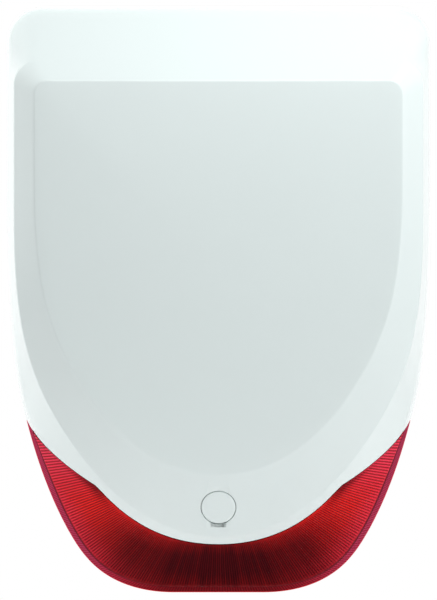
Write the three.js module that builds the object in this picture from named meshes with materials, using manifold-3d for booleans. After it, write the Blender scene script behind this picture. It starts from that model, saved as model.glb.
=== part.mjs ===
// Wall-mounted outdoor alarm siren with a red flash lens.
// Millimetres, +Z up, +X to the right as seen from the front. The wall is the plane y = 0 and the siren
// stands out of it towards -Y. The origin is the middle of the back plate's wall face.
import * as THREE from 'three';
import { mergeVertices } from 'three/addons/utils/BufferGeometryUtils.js';
import Module from 'manifold-3d';

const wasm = await Module();
wasm.setup();

// ---- Housing, seen from the front ----
const HALF_WIDTH = 104;
const TOP = 144;
const BOTTOM = -143.8;
const CORNER_RADIUS = 17.5;
const FACE_HALF_WIDTH = 100.3;
const FACE_TOP = 117.7;
const FACE_BOTTOM = -116;
const FACE_CORNER = 12.5;
const PANEL_HALF_WIDTH = 90.3;
const PANEL_TOP = 107.4;
const PANEL_BOTTOM = -85.8;
const PANEL_CORNER = 7;
const PANEL_CENTRE = new THREE.Vector2(0, 15);

// ---- Housing, in depth from the wall ----
const BACK_GAP = 2.5;
const SHOULDER_DEPTH = 22;
const FACE_DEPTH = 50;
const PANEL_DEPTH = 61.5;
const CROWN = 2.5;
const WALL = 2.5;
const SHOULDER_INSET_TOP = 0.9;
const SHOULDER_INSET_LENS = 3.3;
const OUTLINE_STEPS = 32;
const LENS_RECESS = 1.2;
const LENS_WALL = 2.4;
const LENS_FLANGE_REACH = 5;
const LENS_FLANGE_WALL = 1.8;
const BEYOND = 90;

// ---- Hinge at the top ----
const HINGE_Y = -10;
const HINGE_Z = 137.5;
const HINGE_X = 62;
const PIN_RADIUS = 1.5;
const KNUCKLE_RADIUS = 3.3;
const KNUCKLE_WIDTH = 5;
const EAR_WIDTH = 3;

// ---- Back plate ----
const PLATE_INSET = 8;
const PLATE_TOP = 138;
const PLATE_THICKNESS = 3;
const RIM_DEPTH = 14;
const RIM_WALL = 1.8;
const PLATE_STEPS = 26;
const CABLE_HOLE = { x: 0, z: -58, radius: 8 };
const WALL_SCREWS = [{ x: 82, z: 100 }, { x: 46, z: -84 }];
const WALL_SCREW_RADIUS = 2.6;

// ---- Cover screw and its cap ----
const SCREW_Z = -101.6;
const WELL_RADIUS = 6.3;
const WELL_WALL = 1.9;
const WELL_FLOOR_DEPTH = 32;
const WELL_FLOOR = 2;
const SCREW_RADIUS = 2;
const SCREW_TIP_DEPTH = 15.5;
const PILLAR_DEPTH = 29;
const PILLAR_RADIUS = 6;
const CAP_RADIUS = 8.7;
const CAP_THICKNESS = 1.8;
const BEVEL_ANGLE = Math.atan((PANEL_DEPTH - FACE_DEPTH) / (PANEL_BOTTOM - FACE_BOTTOM));
const BEVEL_DEPTH_AT_SCREW = FACE_DEPTH + (SCREW_Z - FACE_BOTTOM) * Math.tan(BEVEL_ANGLE);

// ---- Things inside ----
const GAP = 0.3;
const BOARD = { left: -10, right: 86, bottom: -34, top: 50, back: 12.3, thickness: 1.6 };
const BOARD_FRONT = BOARD.back + BOARD.thickness;
const STANDOFF_RADIUS = 3.6;
const BATTERY = { centreZ: 92, cellRadius: 16.6, cellLength: 60.2, axisDepth: 22.5 };
const CONTACT_XS = [-BATTERY.cellLength - 4.3, -2.5, 2.5, BATTERY.cellLength + 4.3];
const BATTERY_LEAD_X = BATTERY.cellLength + 8.5;
const SOUNDER = { x: -52, z: 14, radius: 31, lugRadius: 34.5, depth: 26 };
const STROBE = { halfWidth: 30, bottom: -132.2, top: -124.8, back: 12.3 };
const REFLECTOR_SCREW = { x: 65, z: -104 };
const TAMPER = { x: 66, z: -56, half: 8, depth: 20, bore: 3.4, plunger: 2.8 };
const TAMPER_TIP_DEPTH = 34.7;

const FINISH = {
  cover: [0xeef2f2, 0.25, 0], lens: [0xb01018, 0.2, 0], plate: [0xdfe3e3, 0.5, 0],
  black: [0x17181a, 0.5, 0], board: [0x1c5a34, 0.5, 0], steel: [0xb9bcc0, 0.3, 1],
  brass: [0xc8a24c, 0.35, 1], rubber: [0x222222, 0.8, 0], green: [0x3d8f4f, 0.45, 0],
  cell: [0x2c4a7c, 0.35, 0.2], silver: [0xd8dadc, 0.15, 1], led: [0xf3efd8, 0.2, 0],
  can: [0x24405f, 0.4, 0.2], red: [0xb22a22, 0.6, 0], grey: [0x8c9196, 0.5, 0],
};

// ---- Solids and booleans ----
function solid(geometry) {
  const plain = geometry.clone();
  for (const name of Object.keys(plain.attributes)) {
    if (name !== 'position') plain.deleteAttribute(name);
  }
  const merged = mergeVertices(plain, 1e-4);
  return new wasm.Manifold(new wasm.Mesh({
    numProp: 3,
    vertProperties: new Float32Array(merged.attributes.position.array),
    triVerts: new Uint32Array(merged.index.array),
  }));
}

function join(...solids) {
  return solids.reduce((whole, piece) => whole.add(piece));
}

function cut(body, ...tools) {
  return tools.reduce((left, tool) => left.subtract(tool), body);
}

function meshOf(name, body, finish) {
  const made = body.getMesh();
  const geometry = new THREE.BufferGeometry();
  geometry.setAttribute('position', new THREE.BufferAttribute(made.vertProperties, 3));
  geometry.setIndex(new THREE.BufferAttribute(made.triVerts, 1));
  geometry.computeVertexNormals();
  const [color, roughness, metalness] = finish;
  const mesh = new THREE.Mesh(geometry, new THREE.MeshStandardMaterial({ color, roughness, metalness }));
  mesh.name = name;
  return mesh;
}

// A plate with a front-view outline of (x, z) points, from one depth to a larger one.
function plate(outline, nearWall, farFromWall) {
  const geometry = new THREE.ExtrudeGeometry(new THREE.Shape(outline), {
    depth: farFromWall - nearWall,
    bevelEnabled: false,
  });
  return solid(geometry.rotateX(Math.PI / 2).translate(0, -nearWall, 0));
}

// A slab with a side-view outline of (y, z) points, from one x to a larger one.
function slab(outline, fromX, toX) {
  const shape = new THREE.Shape(outline.map(([y, z]) => new THREE.Vector2(y, z)));
  const geometry = new THREE.ExtrudeGeometry(shape, { depth: toX - fromX, bevelEnabled: false });
  const turn = new THREE.Matrix4().makeBasis(
    new THREE.Vector3(0, 1, 0), new THREE.Vector3(0, 0, 1), new THREE.Vector3(1, 0, 0));
  return solid(geometry.applyMatrix4(turn).translate(fromX, 0, 0));
}

// A round bar standing out of the wall at (x, z).
function rod(radius, x, z, nearWall, farFromWall, sides = 20) {
  const length = farFromWall - nearWall;
  const geometry = new THREE.CylinderGeometry(radius, radius, length, sides);
  return solid(geometry.translate(x, -nearWall - length / 2, z));
}

function block(left, right, nearWall, farFromWall, bottom, top) {
  const geometry = new THREE.BoxGeometry(right - left, farFromWall - nearWall, top - bottom);
  return solid(geometry.translate((left + right) / 2, -(nearWall + farFromWall) / 2, (bottom + top) / 2));
}

// A solid of revolution about Y from (radius, height) pairs, closed by joining its last point to its first.
function revolved(profile, sides) {
  const points = profile.map(([radius, height]) => new THREE.Vector2(radius, height));
  if (THREE.ShapeUtils.isClockWise(points)) points.reverse();
  return new THREE.LatheGeometry([...points, points[0]], sides);
}

// A turned piece standing out of the wall at (x, z): the profile holds (radius, depth) pairs.
function turned(profile, x, z, sides = 28) {
  return solid(revolved(profile.map(([radius, depth]) => [radius, -depth]), sides).translate(x, 0, z));
}

// A round lead along a smooth curve through the given points.
function lead(radius, ...points) {
  const route = new THREE.CatmullRomCurve3(points.map((p) => new THREE.Vector3(...p)));
  const section = new THREE.Shape();
  section.absarc(0, 0, radius, 0, 2 * Math.PI);
  const geometry = new THREE.ExtrudeGeometry(section, {
    steps: 4 * (points.length - 1), curveSegments: 4, bevelEnabled: false, extrudePath: route,
  });
  return solid(geometry);
}

// ---- Outlines, as half paths from the top centre round the right side to the bottom centre ----
function outerHalf(top) {
  const path = new THREE.Path();
  path.moveTo(0, top);
  path.lineTo(HALF_WIDTH - CORNER_RADIUS, top);
  path.absarc(HALF_WIDTH - CORNER_RADIUS, top - CORNER_RADIUS, CORNER_RADIUS, Math.PI / 2, 0, true);
  path.lineTo(HALF_WIDTH, 70);
  path.bezierCurveTo(HALF_WIDTH, -29, 97.6, -46.2, 94.5, -58.8);
  path.bezierCurveTo(84.2, -99.8, 69.8, -120.9, 65.9, -125.4);
  path.bezierCurveTo(63.7, -127.9, 52.3, BOTTOM, 22, BOTTOM);
  path.lineTo(0, BOTTOM);
  return path;
}

function faceHalf() {
  const path = new THREE.Path();
  path.moveTo(0, FACE_TOP);
  path.lineTo(FACE_HALF_WIDTH - FACE_CORNER, FACE_TOP);
  path.absarc(FACE_HALF_WIDTH - FACE_CORNER, FACE_TOP - FACE_CORNER, FACE_CORNER, Math.PI / 2, 0, true);
  path.lineTo(FACE_HALF_WIDTH, 40);
  path.bezierCurveTo(FACE_HALF_WIDTH, -15, 92.6, -39.5, 73, -68.6);
  path.bezierCurveTo(44.5, -110.8, 13.9, FACE_BOTTOM, 0, FACE_BOTTOM);
  return path;
}

function panelHalf() {
  const path = new THREE.Path();
  path.moveTo(0, PANEL_TOP);
  path.lineTo(PANEL_HALF_WIDTH - PANEL_CORNER, PANEL_TOP);
  path.absarc(PANEL_HALF_WIDTH - PANEL_CORNER, PANEL_TOP - PANEL_CORNER, PANEL_CORNER, Math.PI / 2, 0, true);
  path.lineTo(PANEL_HALF_WIDTH, 60);
  path.bezierCurveTo(PANEL_HALF_WIDTH, 10, 83.9, -9.8, 74, -29.4);
  path.bezierCurveTo(59.1, -58.9, 34, PANEL_BOTTOM, 0, PANEL_BOTTOM);
  return path;
}

// The cover's lower edge, which the lens shows below: from past the right side to the centre.
function coverEdgeHalf() {
  const path = new THREE.Path();
  path.moveTo(112, -28.4);
  path.lineTo(94.8, -58);
  path.bezierCurveTo(93.5, -60.3, 87.9, -73.5, 60.5, -90.6);
  path.lineTo(56.5, -94.6);
  path.bezierCurveTo(41.1, -111.2, 22.6, -119.6, 0, -119.6);
  return path;
}

function mirrored(half) {
  const left = half.slice(0, -1).reverse().map((p) => new THREE.Vector2(-p.x, p.y));
  return [...half, ...left];
}

function closedOutline(path, steps) {
  return mirrored(path.getSpacedPoints(steps)).slice(0, -1);
}

// Moves each point of an outline square to it, inwards by distance(point).
function moved(points, distance, closed = true) {
  const last = points.length - 1;
  return points.map((p, i) => {
    const before = points[i > 0 ? i - 1 : (closed ? last : 0)];
    const after = points[i < last ? i + 1 : (closed ? 0 : last)];
    const along = after.clone().sub(before).normalize();
    return new THREE.Vector2(p.x + along.y * distance(p), p.y - along.x * distance(p));
  });
}

function inset(points, distance) {
  return moved(points, () => distance);
}

function nearestOn(outline, point) {
  let best = null;
  let shortest = Infinity;
  outline.forEach((start, i) => {
    const end = outline[(i + 1) % outline.length];
    const along = end.clone().sub(start);
    const share = THREE.MathUtils.clamp(point.clone().sub(start).dot(along) / along.lengthSq(), 0, 1);
    const candidate = start.clone().addScaledVector(along, share);
    const distance = candidate.distanceTo(point);
    if (distance < shortest) {
      shortest = distance;
      best = candidate;
    }
  });
  return best;
}

const OUTER = closedOutline(outerHalf(TOP), OUTLINE_STEPS);
const SHOULDER = moved(OUTER, (p) => THREE.MathUtils.lerp(
  SHOULDER_INSET_TOP, SHOULDER_INSET_LENS, THREE.MathUtils.smoothstep(-p.y, 40, 95)));
const FACE = SHOULDER.map((p) => nearestOn(closedOutline(faceHalf(), 400), p));
const PANEL = FACE.map((p) => nearestOn(closedOutline(panelHalf(), 400), p));

// ---- The housing's skin as a solid through a stack of rings ----
function capTriangles(points) {
  return THREE.ShapeUtils.triangulateShape(points, []).map(([a, b, c]) => {
    const ab = points[b].clone().sub(points[a]);
    const ac = points[c].clone().sub(points[a]);
    return ab.cross(ac) > 0 ? [a, b, c] : [a, c, b];
  });
}

function loft(rings) {
  const count = rings[0].points.length;
  const positions = rings.flatMap(({ points, depth }) => points.flatMap((p) => [p.x, -depth, p.y]));
  const triangles = [];
  for (let k = 0; k + 1 < rings.length; k += 1) {
    for (let i = 0; i < count; i += 1) {
      const [a, b] = [k * count + i, k * count + (i + 1) % count];
      triangles.push([a, b + count, b], [a, a + count, b + count]);
    }
  }
  const front = (rings.length - 1) * count;
  for (const [a, b, c] of capTriangles(rings[0].points)) triangles.push([a, c, b]);
  for (const [a, b, c] of capTriangles(rings.at(-1).points)) {
    triangles.push([front + a, front + b, front + c]);
  }
  const geometry = new THREE.BufferGeometry();
  geometry.setAttribute('position', new THREE.Float32BufferAttribute(positions, 3));
  geometry.setIndex(triangles.flat());
  return solid(geometry);
}

// The whole housing form, shrunk by a skin depth, with its slope to the face sunk by a recess.
// An open one runs on past the back edge, to hollow out another.
function housing(depthOfSkin, recess = 0, open = false) {
  const panel = inset(PANEL, 0.45 * depthOfSkin);
  const towardsCentre = (share) => panel.map((p) => p.clone().lerp(PANEL_CENTRE, share));
  const panelDepth = PANEL_DEPTH - recess - depthOfSkin;
  const back = { points: inset(OUTER, depthOfSkin), depth: BACK_GAP };
  return loft([
    ...(open ? [{ points: back.points, depth: -BACK_GAP }] : []),
    back,
    { points: inset(SHOULDER, depthOfSkin), depth: SHOULDER_DEPTH - 0.35 * depthOfSkin },
    { points: inset(FACE, depthOfSkin), depth: FACE_DEPTH - recess - 0.9 * depthOfSkin },
    { points: panel, depth: panelDepth },
    { points: towardsCentre(0.35), depth: panelDepth + 0.6 * CROWN },
    { points: towardsCentre(0.75), depth: panelDepth + CROWN },
  ]);
}

function skin(outside, inside, recess = 0) {
  return cut(housing(outside, recess), housing(inside, recess, true));
}

// Everything below the cover's lower edge, with that edge moved up by a rise.
function lensZone(rise) {
  const edge = moved(mirrored(coverEdgeHalf().getSpacedPoints(18)), () => rise, false);
  const corners = [new THREE.Vector2(-130, -170), new THREE.Vector2(130, -170)];
  return plate([...edge, ...corners], -5, BEYOND);
}

// ---- Frame of the bevel at the cover screw: local z points out of the bevel, local y up along it ----
const ON_BEVEL = new THREE.Matrix4().makeBasis(
  new THREE.Vector3(1, 0, 0),
  new THREE.Vector3(0, -Math.sin(BEVEL_ANGLE), Math.cos(BEVEL_ANGLE)),
  new THREE.Vector3(0, -Math.cos(BEVEL_ANGLE), -Math.sin(BEVEL_ANGLE)),
).setPosition(0, -BEVEL_DEPTH_AT_SCREW, SCREW_Z);

function bevelDisc(radius, from, to, sides = 28) {
  const geometry = new THREE.CylinderGeometry(radius, radius, to - from, sides);
  return solid(geometry.rotateX(Math.PI / 2).translate(0, 0, (from + to) / 2).applyMatrix4(ON_BEVEL));
}

function prySlot() {
  const geometry = new THREE.BoxGeometry(7.4, 4, 2.2);
  return solid(geometry.translate(0, -8.5, -0.6).applyMatrix4(ON_BEVEL));
}

// ---- Cover ----
function coverKnuckle(centreX) {
  const outline = [[-4, 142.6], [-17, 142.6], [-13.2, HINGE_Z], [-12, 135], [-10, HINGE_Z - KNUCKLE_RADIUS],
    [-8, 135], [-6.8, HINGE_Z]];
  return slab(outline, centreX - KNUCKLE_WIDTH / 2, centreX + KNUCKLE_WIDTH / 2);
}

function hingeBore(radius) {
  const geometry = new THREE.CylinderGeometry(radius, radius, 2 * HALF_WIDTH, 16);
  return solid(geometry.rotateZ(Math.PI / 2).translate(0, HINGE_Y, HINGE_Z));
}

function frontCover() {
  const well = rod(WELL_RADIUS + WELL_WALL, 0, SCREW_Z, WELL_FLOOR_DEPTH, BEYOND, 28);
  const knuckles = join(coverKnuckle(-HINGE_X), coverKnuckle(HINGE_X)).subtract(hingeBore(PIN_RADIUS + GAP));
  const tamperBoss = rod(3, TAMPER.x, TAMPER.z, TAMPER_TIP_DEPTH + GAP, BEYOND, 16);
  const inner = join(well, bevelDisc(10.6, -6, 6), knuckles, tamperBoss).intersect(housing(0.8));
  const whole = join(skin(0, WALL).subtract(lensZone(0)), inner);
  return cut(
    whole,
    bevelDisc(CAP_RADIUS + 0.35, -2.1, 8),
    bevelDisc(WELL_RADIUS, -9, 8, 28),
    rod(WELL_RADIUS, 0, SCREW_Z, WELL_FLOOR_DEPTH + WELL_FLOOR, BEVEL_DEPTH_AT_SCREW - 1, 28),
    rod(SCREW_RADIUS + 0.4, 0, SCREW_Z, WELL_FLOOR_DEPTH - 5, BEYOND, 16),
    prySlot(),
  );
}

function flashLens() {
  const below = lensZone(-0.4);
  const belowStep = lensZone(-3.2);
  const window = skin(0, LENS_WALL, LENS_RECESS).intersect(below);
  const step = skin(0.2, WALL + GAP + 1.8, LENS_RECESS).intersect(below).subtract(belowStep);
  const underCover = skin(WALL + GAP, WALL + GAP + LENS_FLANGE_WALL);
  const flange = underCover.intersect(lensZone(LENS_FLANGE_REACH)).subtract(belowStep);
  return join(window, step, flange);
}

// ---- Screw, its clip and its cap ----
function coverScrew() {
  const head = WELL_FLOOR_DEPTH + WELL_FLOOR + 1.3;
  const body = turned([
    [0, SCREW_TIP_DEPTH], [SCREW_RADIUS - 0.6, SCREW_TIP_DEPTH], [SCREW_RADIUS, SCREW_TIP_DEPTH + 1.2],
    [SCREW_RADIUS, head], [3.9, head], [3.9, head + 1.7], [3, head + 2.7], [0, head + 2.7],
  ], 0, SCREW_Z, 20);
  const slots = [0, 1].map((i) => {
    const geometry = new THREE.BoxGeometry(4.4, 3, 1);
    return solid(geometry.rotateY(i * Math.PI / 2).translate(0, -head - 2.9, SCREW_Z));
  });
  return cut(body, ...slots);
}

function washer(inner, outer, nearWall, farFromWall) {
  const section = [[inner, nearWall], [outer, nearWall], [outer, farFromWall], [inner, farFromWall]];
  return turned(section, 0, SCREW_Z, 16);
}

function screwCap() {
  const disc = bevelDisc(CAP_RADIUS, -CAP_THICKNESS, 0.1);
  const skirt = cut(bevelDisc(5.7, -6.5, -1), bevelDisc(4.5, -7, -CAP_THICKNESS));
  const gates = [0, 1].map((i) => {
    const geometry = new THREE.BoxGeometry(2, 14, 3.4);
    return solid(geometry.rotateZ(Math.PI / 4 + i * Math.PI / 2).translate(0, 0, -5).applyMatrix4(ON_BEVEL));
  });
  return join(disc, cut(skirt, ...gates));
}

// ---- Back plate ----
function hingeEars(centreX) {
  const outline = [[-1.5, 114], [-1.5, 127], [-6.9, 136], [-8, 140], [-10, HINGE_Z + KNUCKLE_RADIUS],
    [-12, 140], [-13.3, HINGE_Z], [-14, 126], [-14, 119], [-8, 114]];
  const offset = KNUCKLE_WIDTH / 2 + 0.6;
  return [-1, 1].map((side) => {
    const near = centreX + side * offset;
    return slab(outline, Math.min(near, near + side * EAR_WIDTH), Math.max(near, near + side * EAR_WIDTH));
  });
}

function standoff({ x, z }, depth) {
  return rod(STANDOFF_RADIUS, x, z, PLATE_THICKNESS - 0.5, depth, 10);
}

// A hole for a wall screw: a round entry for its head and a slot above it for its neck.
function keyhole(x, z) {
  const neck = block(x - WALL_SCREW_RADIUS, x + WALL_SCREW_RADIUS, -1, 9, z, z + 8);
  return join(rod(4.8, x, z, -1, 9, 14), neck, rod(WALL_SCREW_RADIUS, x, z + 8, -1, 9, 12));
}

function soundSlots() {
  const slots = [];
  for (let x = -31.5; x < 32; x += 9) slots.push(block(x - 2.5, x + 2.5, 4.5, 11.5, BOTTOM, -120));
  return slots;
}

const BOARD_CORNERS = [
  { x: BOARD.left + 5, z: BOARD.bottom + 5 }, { x: BOARD.right - 5, z: BOARD.bottom + 5 },
  { x: BOARD.right - 5, z: BOARD.top - 5 }, { x: BOARD.left + 5, z: BOARD.top - 5 },
];
const SOUNDER_LUGS = [0, 1, 2].map((i) => {
  const angle = Math.PI / 2 + i * 2 * Math.PI / 3;
  const [across, up] = [Math.cos(angle), Math.sin(angle)];
  return { x: SOUNDER.x + SOUNDER.lugRadius * across, z: SOUNDER.z + SOUNDER.lugRadius * up };
});
const REFLECTOR_SCREWS = [-1, 1].map((side) => ({ x: side * REFLECTOR_SCREW.x, z: REFLECTOR_SCREW.z }));
const STROBE_SCREW = { x: 0, z: (STROBE.bottom + STROBE.top) / 2 };

function backPlate() {
  const outline = inset(closedOutline(outerHalf(PLATE_TOP), PLATE_STEPS), PLATE_INSET);
  const floor = plate(outline, 0, PLATE_THICKNESS);
  const rim = cut(
    plate(outline, 1, RIM_DEPTH),
    plate(inset(outline, RIM_WALL), 0, RIM_DEPTH + 2),
    ...soundSlots(),
  );
  const pillar = rod(PILLAR_RADIUS, 0, SCREW_Z, 2, PILLAR_DEPTH);
  const gussets = [-1, 1].map((side) => block(
    Math.min(5 * side, 14 * side), Math.max(5 * side, 14 * side), 2, 16, SCREW_Z - 1, SCREW_Z + 1));
  const standoffs = [
    ...BOARD_CORNERS.map((p) => standoff(p, BOARD.back - GAP)),
    ...SOUNDER_LUGS.map((p) => standoff(p, 8)),
    ...REFLECTOR_SCREWS.map((p) => standoff(p, 12)),
    standoff(STROBE_SCREW, STROBE.back - GAP),
  ];
  const ears = [...hingeEars(-HINGE_X), ...hingeEars(HINGE_X)];
  const pilots = [...BOARD_CORNERS, ...SOUNDER_LUGS, ...REFLECTOR_SCREWS, STROBE_SCREW]
    .map(({ x, z }) => rod(1.6, x, z, 3.5, 20, 8));
  return cut(
    join(floor, rim, pillar, ...gussets, ...standoffs, ...ears),
    ...pilots,
    hingeBore(PIN_RADIUS + 0.2),
    rod(4.4, 0, SCREW_Z, 22.8, 40, 20),
    rod(3.4, 0, SCREW_Z, 6, 40, 20),
    rod(CABLE_HOLE.radius, CABLE_HOLE.x, CABLE_HOLE.z, -1, 5),
    rod(TAMPER.bore, TAMPER.x, TAMPER.z, -1, 5, 16),
    ...WALL_SCREWS.flatMap(({ x, z }) => [keyhole(-x, z), keyhole(x, z)]),
  );
}

function cableGrommet() {
  return turned([
    [4.2, -0.2 + GAP], [7.6, 0.1], [7.6, 3.3], [10.5, 3.3], [10.5, 5.3], [7.6, 6.4], [5.4, 9], [4.2, 9],
  ], CABLE_HOLE.x, CABLE_HOLE.z, 18);
}

function hingePin(side) {
  const geometry = new THREE.CylinderGeometry(PIN_RADIUS, PIN_RADIUS, 16, 16);
  return solid(geometry.rotateZ(Math.PI / 2).translate(side * HINGE_X, HINGE_Y, HINGE_Z));
}

// A small pan-head screw pointing at the wall, whose head rests on a surface at the given depth.
function smallScrew({ x, z }, surface, length = 7) {
  const body = turned([
    [0, surface - length], [1.25, surface - length], [1.25, surface + 0.2],
    [2.7, surface + 0.2], [2.7, surface + 1.2], [1.8, surface + 2.1], [0, surface + 2.1],
  ], x, z, 10);
  return cut(body, block(x - 2, x + 2, surface + 1.3, surface + 3, z - 0.35, z + 0.35));
}

// ---- Circuit board and what it carries ----
function mainBoard() {
  const body = block(BOARD.left, BOARD.right, BOARD.back, BOARD_FRONT, BOARD.bottom, BOARD.top);
  return cut(body, ...BOARD_CORNERS.map(({ x, z }) => rod(1.7, x, z, BOARD.back - 2, BOARD_FRONT + 2, 12)));
}

function onBoard(left, right, height, bottom, top) {
  return block(left, right, BOARD_FRONT + GAP, BOARD_FRONT + GAP + height, bottom, top);
}

function terminalBlock() {
  const ways = [0, 1, 2, 3, 4, 5].map((i) => 7.5 + 6 * i);
  return cut(
    onBoard(4, 41, 10, -32, -22),
    ...ways.map((x) => rod(1.9, x, -25.5, BOARD_FRONT + 6, 40, 10)),
    ...ways.map((x) => block(x - 1.9, x + 1.9, BOARD_FRONT + 2, BOARD_FRONT + 6.5, -33, -28)),
  );
}

function capacitor(x, z) {
  const foot = BOARD_FRONT + GAP;
  return turned([[0, foot], [4.9, foot], [4.9, foot + 2], [4.4, foot + 2.5], [4.9, foot + 3],
    [4.9, foot + 15.2], [4.3, foot + 16], [0, foot + 16]], x, z, 20);
}

function transformer() {
  const coil = rod(7, 62, 8, BOARD_FRONT + 2, BOARD_FRONT + 12, 20);
  const foot = onBoard(53, 71, 2.5, 0, 16);
  const top = block(53, 71, BOARD_FRONT + 11.5, BOARD_FRONT + 14, 0, 16);
  const posts = [53, 69.2].map((x) => block(x, x + 1.8, BOARD_FRONT + 1, BOARD_FRONT + 13, 3, 13));
  return join(coil, foot, top, ...posts);
}

// ---- Battery ----
function batteryHolder() {
  const { centreZ, cellRadius, cellLength, axisDepth } = BATTERY;
  const [halfWidth, halfHeight] = [cellLength + 7.5, cellRadius + 3.5];
  const [bottom, top] = [centreZ - halfHeight, centreZ + halfHeight];
  const tray = block(-halfWidth, halfWidth, PLATE_THICKNESS + GAP, 27, bottom, top);
  const bays = [-1, 1].map((side) => {
    const bore = new THREE.CylinderGeometry(cellRadius + 0.5, cellRadius + 0.5, cellLength + 3.4, 32);
    return solid(bore.rotateZ(Math.PI / 2).translate(side * (cellLength / 2 + 3.4), -axisDepth, centreZ));
  });
  const mouths = [-1, 1].map((side) => {
    const [near, far] = [side * 1.7, side * (cellLength + 5.1)];
    return block(Math.min(near, far), Math.max(near, far), axisDepth, 40,
      centreZ - cellRadius - 0.5, centreZ + cellRadius + 0.5);
  });
  return cut(tray, ...bays, ...mouths);
}

// A cell on one side of the centre. Both point the same way, so that they are in series.
function batteryCell(side) {
  const { centreZ, cellRadius, cellLength, axisDepth } = BATTERY;
  const half = cellLength / 2;
  const profile = [
    [0, -half], [15.6, -half], [cellRadius, 1 - half], [cellRadius, half - 3.4], [15.2, half - 2.2],
    [4.9, half - 2.2], [4.9, half - 0.2], [4.2, half], [0, half],
  ];
  const geometry = revolved(profile, 22).rotateZ(-Math.PI / 2);
  return solid(geometry.translate(side * (half + 3.4), -axisDepth, centreZ));
}

function batteryContact(x) {
  const { centreZ, axisDepth } = BATTERY;
  return block(x - 0.4, x + 0.4, axisDepth - 6, axisDepth + 11, centreZ - 5, centreZ + 5);
}

// ---- Sounder ----
function sounderBody() {
  const { x, z, radius, depth } = SOUNDER;
  const cup = turned([[0, 8.3], [radius, 8.3], [radius, depth], [radius - 2.2, depth], [radius - 2.2, 10.5],
    [0, 10.5]], x, z, 24);
  const lugs = SOUNDER_LUGS.map((p) => rod(4.2, p.x, p.z, 8.3, 11, 16));
  const bore = turned([[0, 8], [radius - 2.2, 10.5], [radius - 2.2, 30], [0, 30]], x, z, 24);
  return cut(join(cup, ...lugs.map((lug) => lug.subtract(bore))),
    ...SOUNDER_LUGS.map((p) => rod(1.7, p.x, p.z, 5, 14, 12)),
    block(x + radius - 6, x + radius + 4, 18, 21, z + 8, z + 12));
}

function sounderDisc() {
  const { x, z, radius } = SOUNDER;
  const section = [[0, 12.6], [radius - 3, 12.6], [radius - 3, 13.1], [9, 13.1], [9, 13.5], [0, 13.5]];
  return turned(section, x, z, 24);
}

function sounderHorn() {
  const { x, z, radius, depth } = SOUNDER;
  const mouth = radius - 2.6;
  return turned([[5, 15], [6.6, 15], [8.5, 19], [14, 22.6], [mouth, depth - 0.4], [mouth, depth + 2.4],
    [mouth - 1.6, depth + 2.4], [12.6, 24.6], [7, 20.4], [5, 16]], x, z, 24);
}

// ---- Flash light ----
function strobeReflector() {
  const inside = plate(inset(OUTER, PLATE_INSET + RIM_WALL + 0.7), 0, BEYOND);
  const slice = block(-120, 120, 12.3, 14, -160, -40);
  const tray = lensZone(-3).intersect(inside).intersect(slice);
  const band = lensZone(-3).subtract(lensZone(-4.6)).intersect(housing(6.8));
  const wall = band.intersect(inside).intersect(block(-120, 120, 12.3, 30, -160, -40));
  return cut(
    join(tray, wall),
    block(-STROBE.halfWidth - 1, STROBE.halfWidth + 1, 10, 16, -150, STROBE.top + 0.5),
    block(14, 25, 13, 22, -130, -100),
    ...REFLECTOR_SCREWS.map(({ x, z }) => rod(1.7, x, z, 10, 16, 12)),
  );
}

function strobeBoard() {
  const { halfWidth, bottom, top, back } = STROBE;
  const body = block(-halfWidth, halfWidth, back, back + 1.6, bottom, top);
  return cut(body, rod(1.7, STROBE_SCREW.x, STROBE_SCREW.z, back - 2, back + 4, 12));
}

function strobeLed(x) {
  const z = STROBE_SCREW.z;
  const front = STROBE.back + 1.6 + GAP;
  const foot = block(x - 2.7, x + 2.7, front, front + 1.1, z - 2.7, z + 2.7);
  const dome = new THREE.SphereGeometry(2.2, 14, 8).translate(x, -front - 1, z);
  return join(foot, solid(dome).intersect(block(x - 4, x + 4, front + 0.5, front + 6, z - 4, z + 4)));
}

// ---- Tamper switch ----
function tamperHousing() {
  const { x, z, half, depth, bore } = TAMPER;
  const body = block(x - half, x + half, PLATE_THICKNESS + GAP, depth, z - half, z + half);
  return cut(body, rod(bore, x, z, 0, 40, 16), block(x - half - 1, x - 2, 9, 12, z - 1.5, z + 1.5));
}

function wallPlunger() {
  const { x, z, plunger } = TAMPER;
  return turned([[0, 0.1], [plunger - 0.4, 0.1], [plunger, 0.6], [plunger, 9.5], [0, 9.5]], x, z, 16);
}

function coverPlunger() {
  const { x, z, plunger } = TAMPER;
  const tip = TAMPER_TIP_DEPTH;
  const tipEnd = [[1.8, tip - 2.4], [1.8, tip - 0.5], [1.2, tip], [0, tip]];
  return turned([[0, 14], [plunger, 14], [plunger, tip - 4], ...tipEnd], x, z, 16);
}

// ---- Assembly ----
const siren = new THREE.Group();

function add(name, body, finish) {
  siren.add(meshOf(name, body, finish));
}

add('front_cover', frontCover(), FINISH.cover);
add('flash_lens', flashLens(), FINISH.lens);
add('screw_cap', screwCap(), FINISH.cover);
add('cover_screw', coverScrew(), FINISH.steel);
add('screw_seal', washer(2.35, 3.9, WELL_FLOOR_DEPTH + WELL_FLOOR + GAP, WELL_FLOOR_DEPTH + WELL_FLOOR + 1.1),
  FINISH.rubber);
add('screw_clip', washer(2.3, 3.7, 23.4, 24.4), FINISH.steel);

add('back_plate', backPlate(), FINISH.plate);
add('cable_grommet', cableGrommet(), FINISH.rubber);
add('screw_insert', washer(2.5, 3.15, 14, 22.5), FINISH.brass);
add('hinge_pin_left', hingePin(-1), FINISH.steel);
add('hinge_pin_right', hingePin(1), FINISH.steel);

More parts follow.
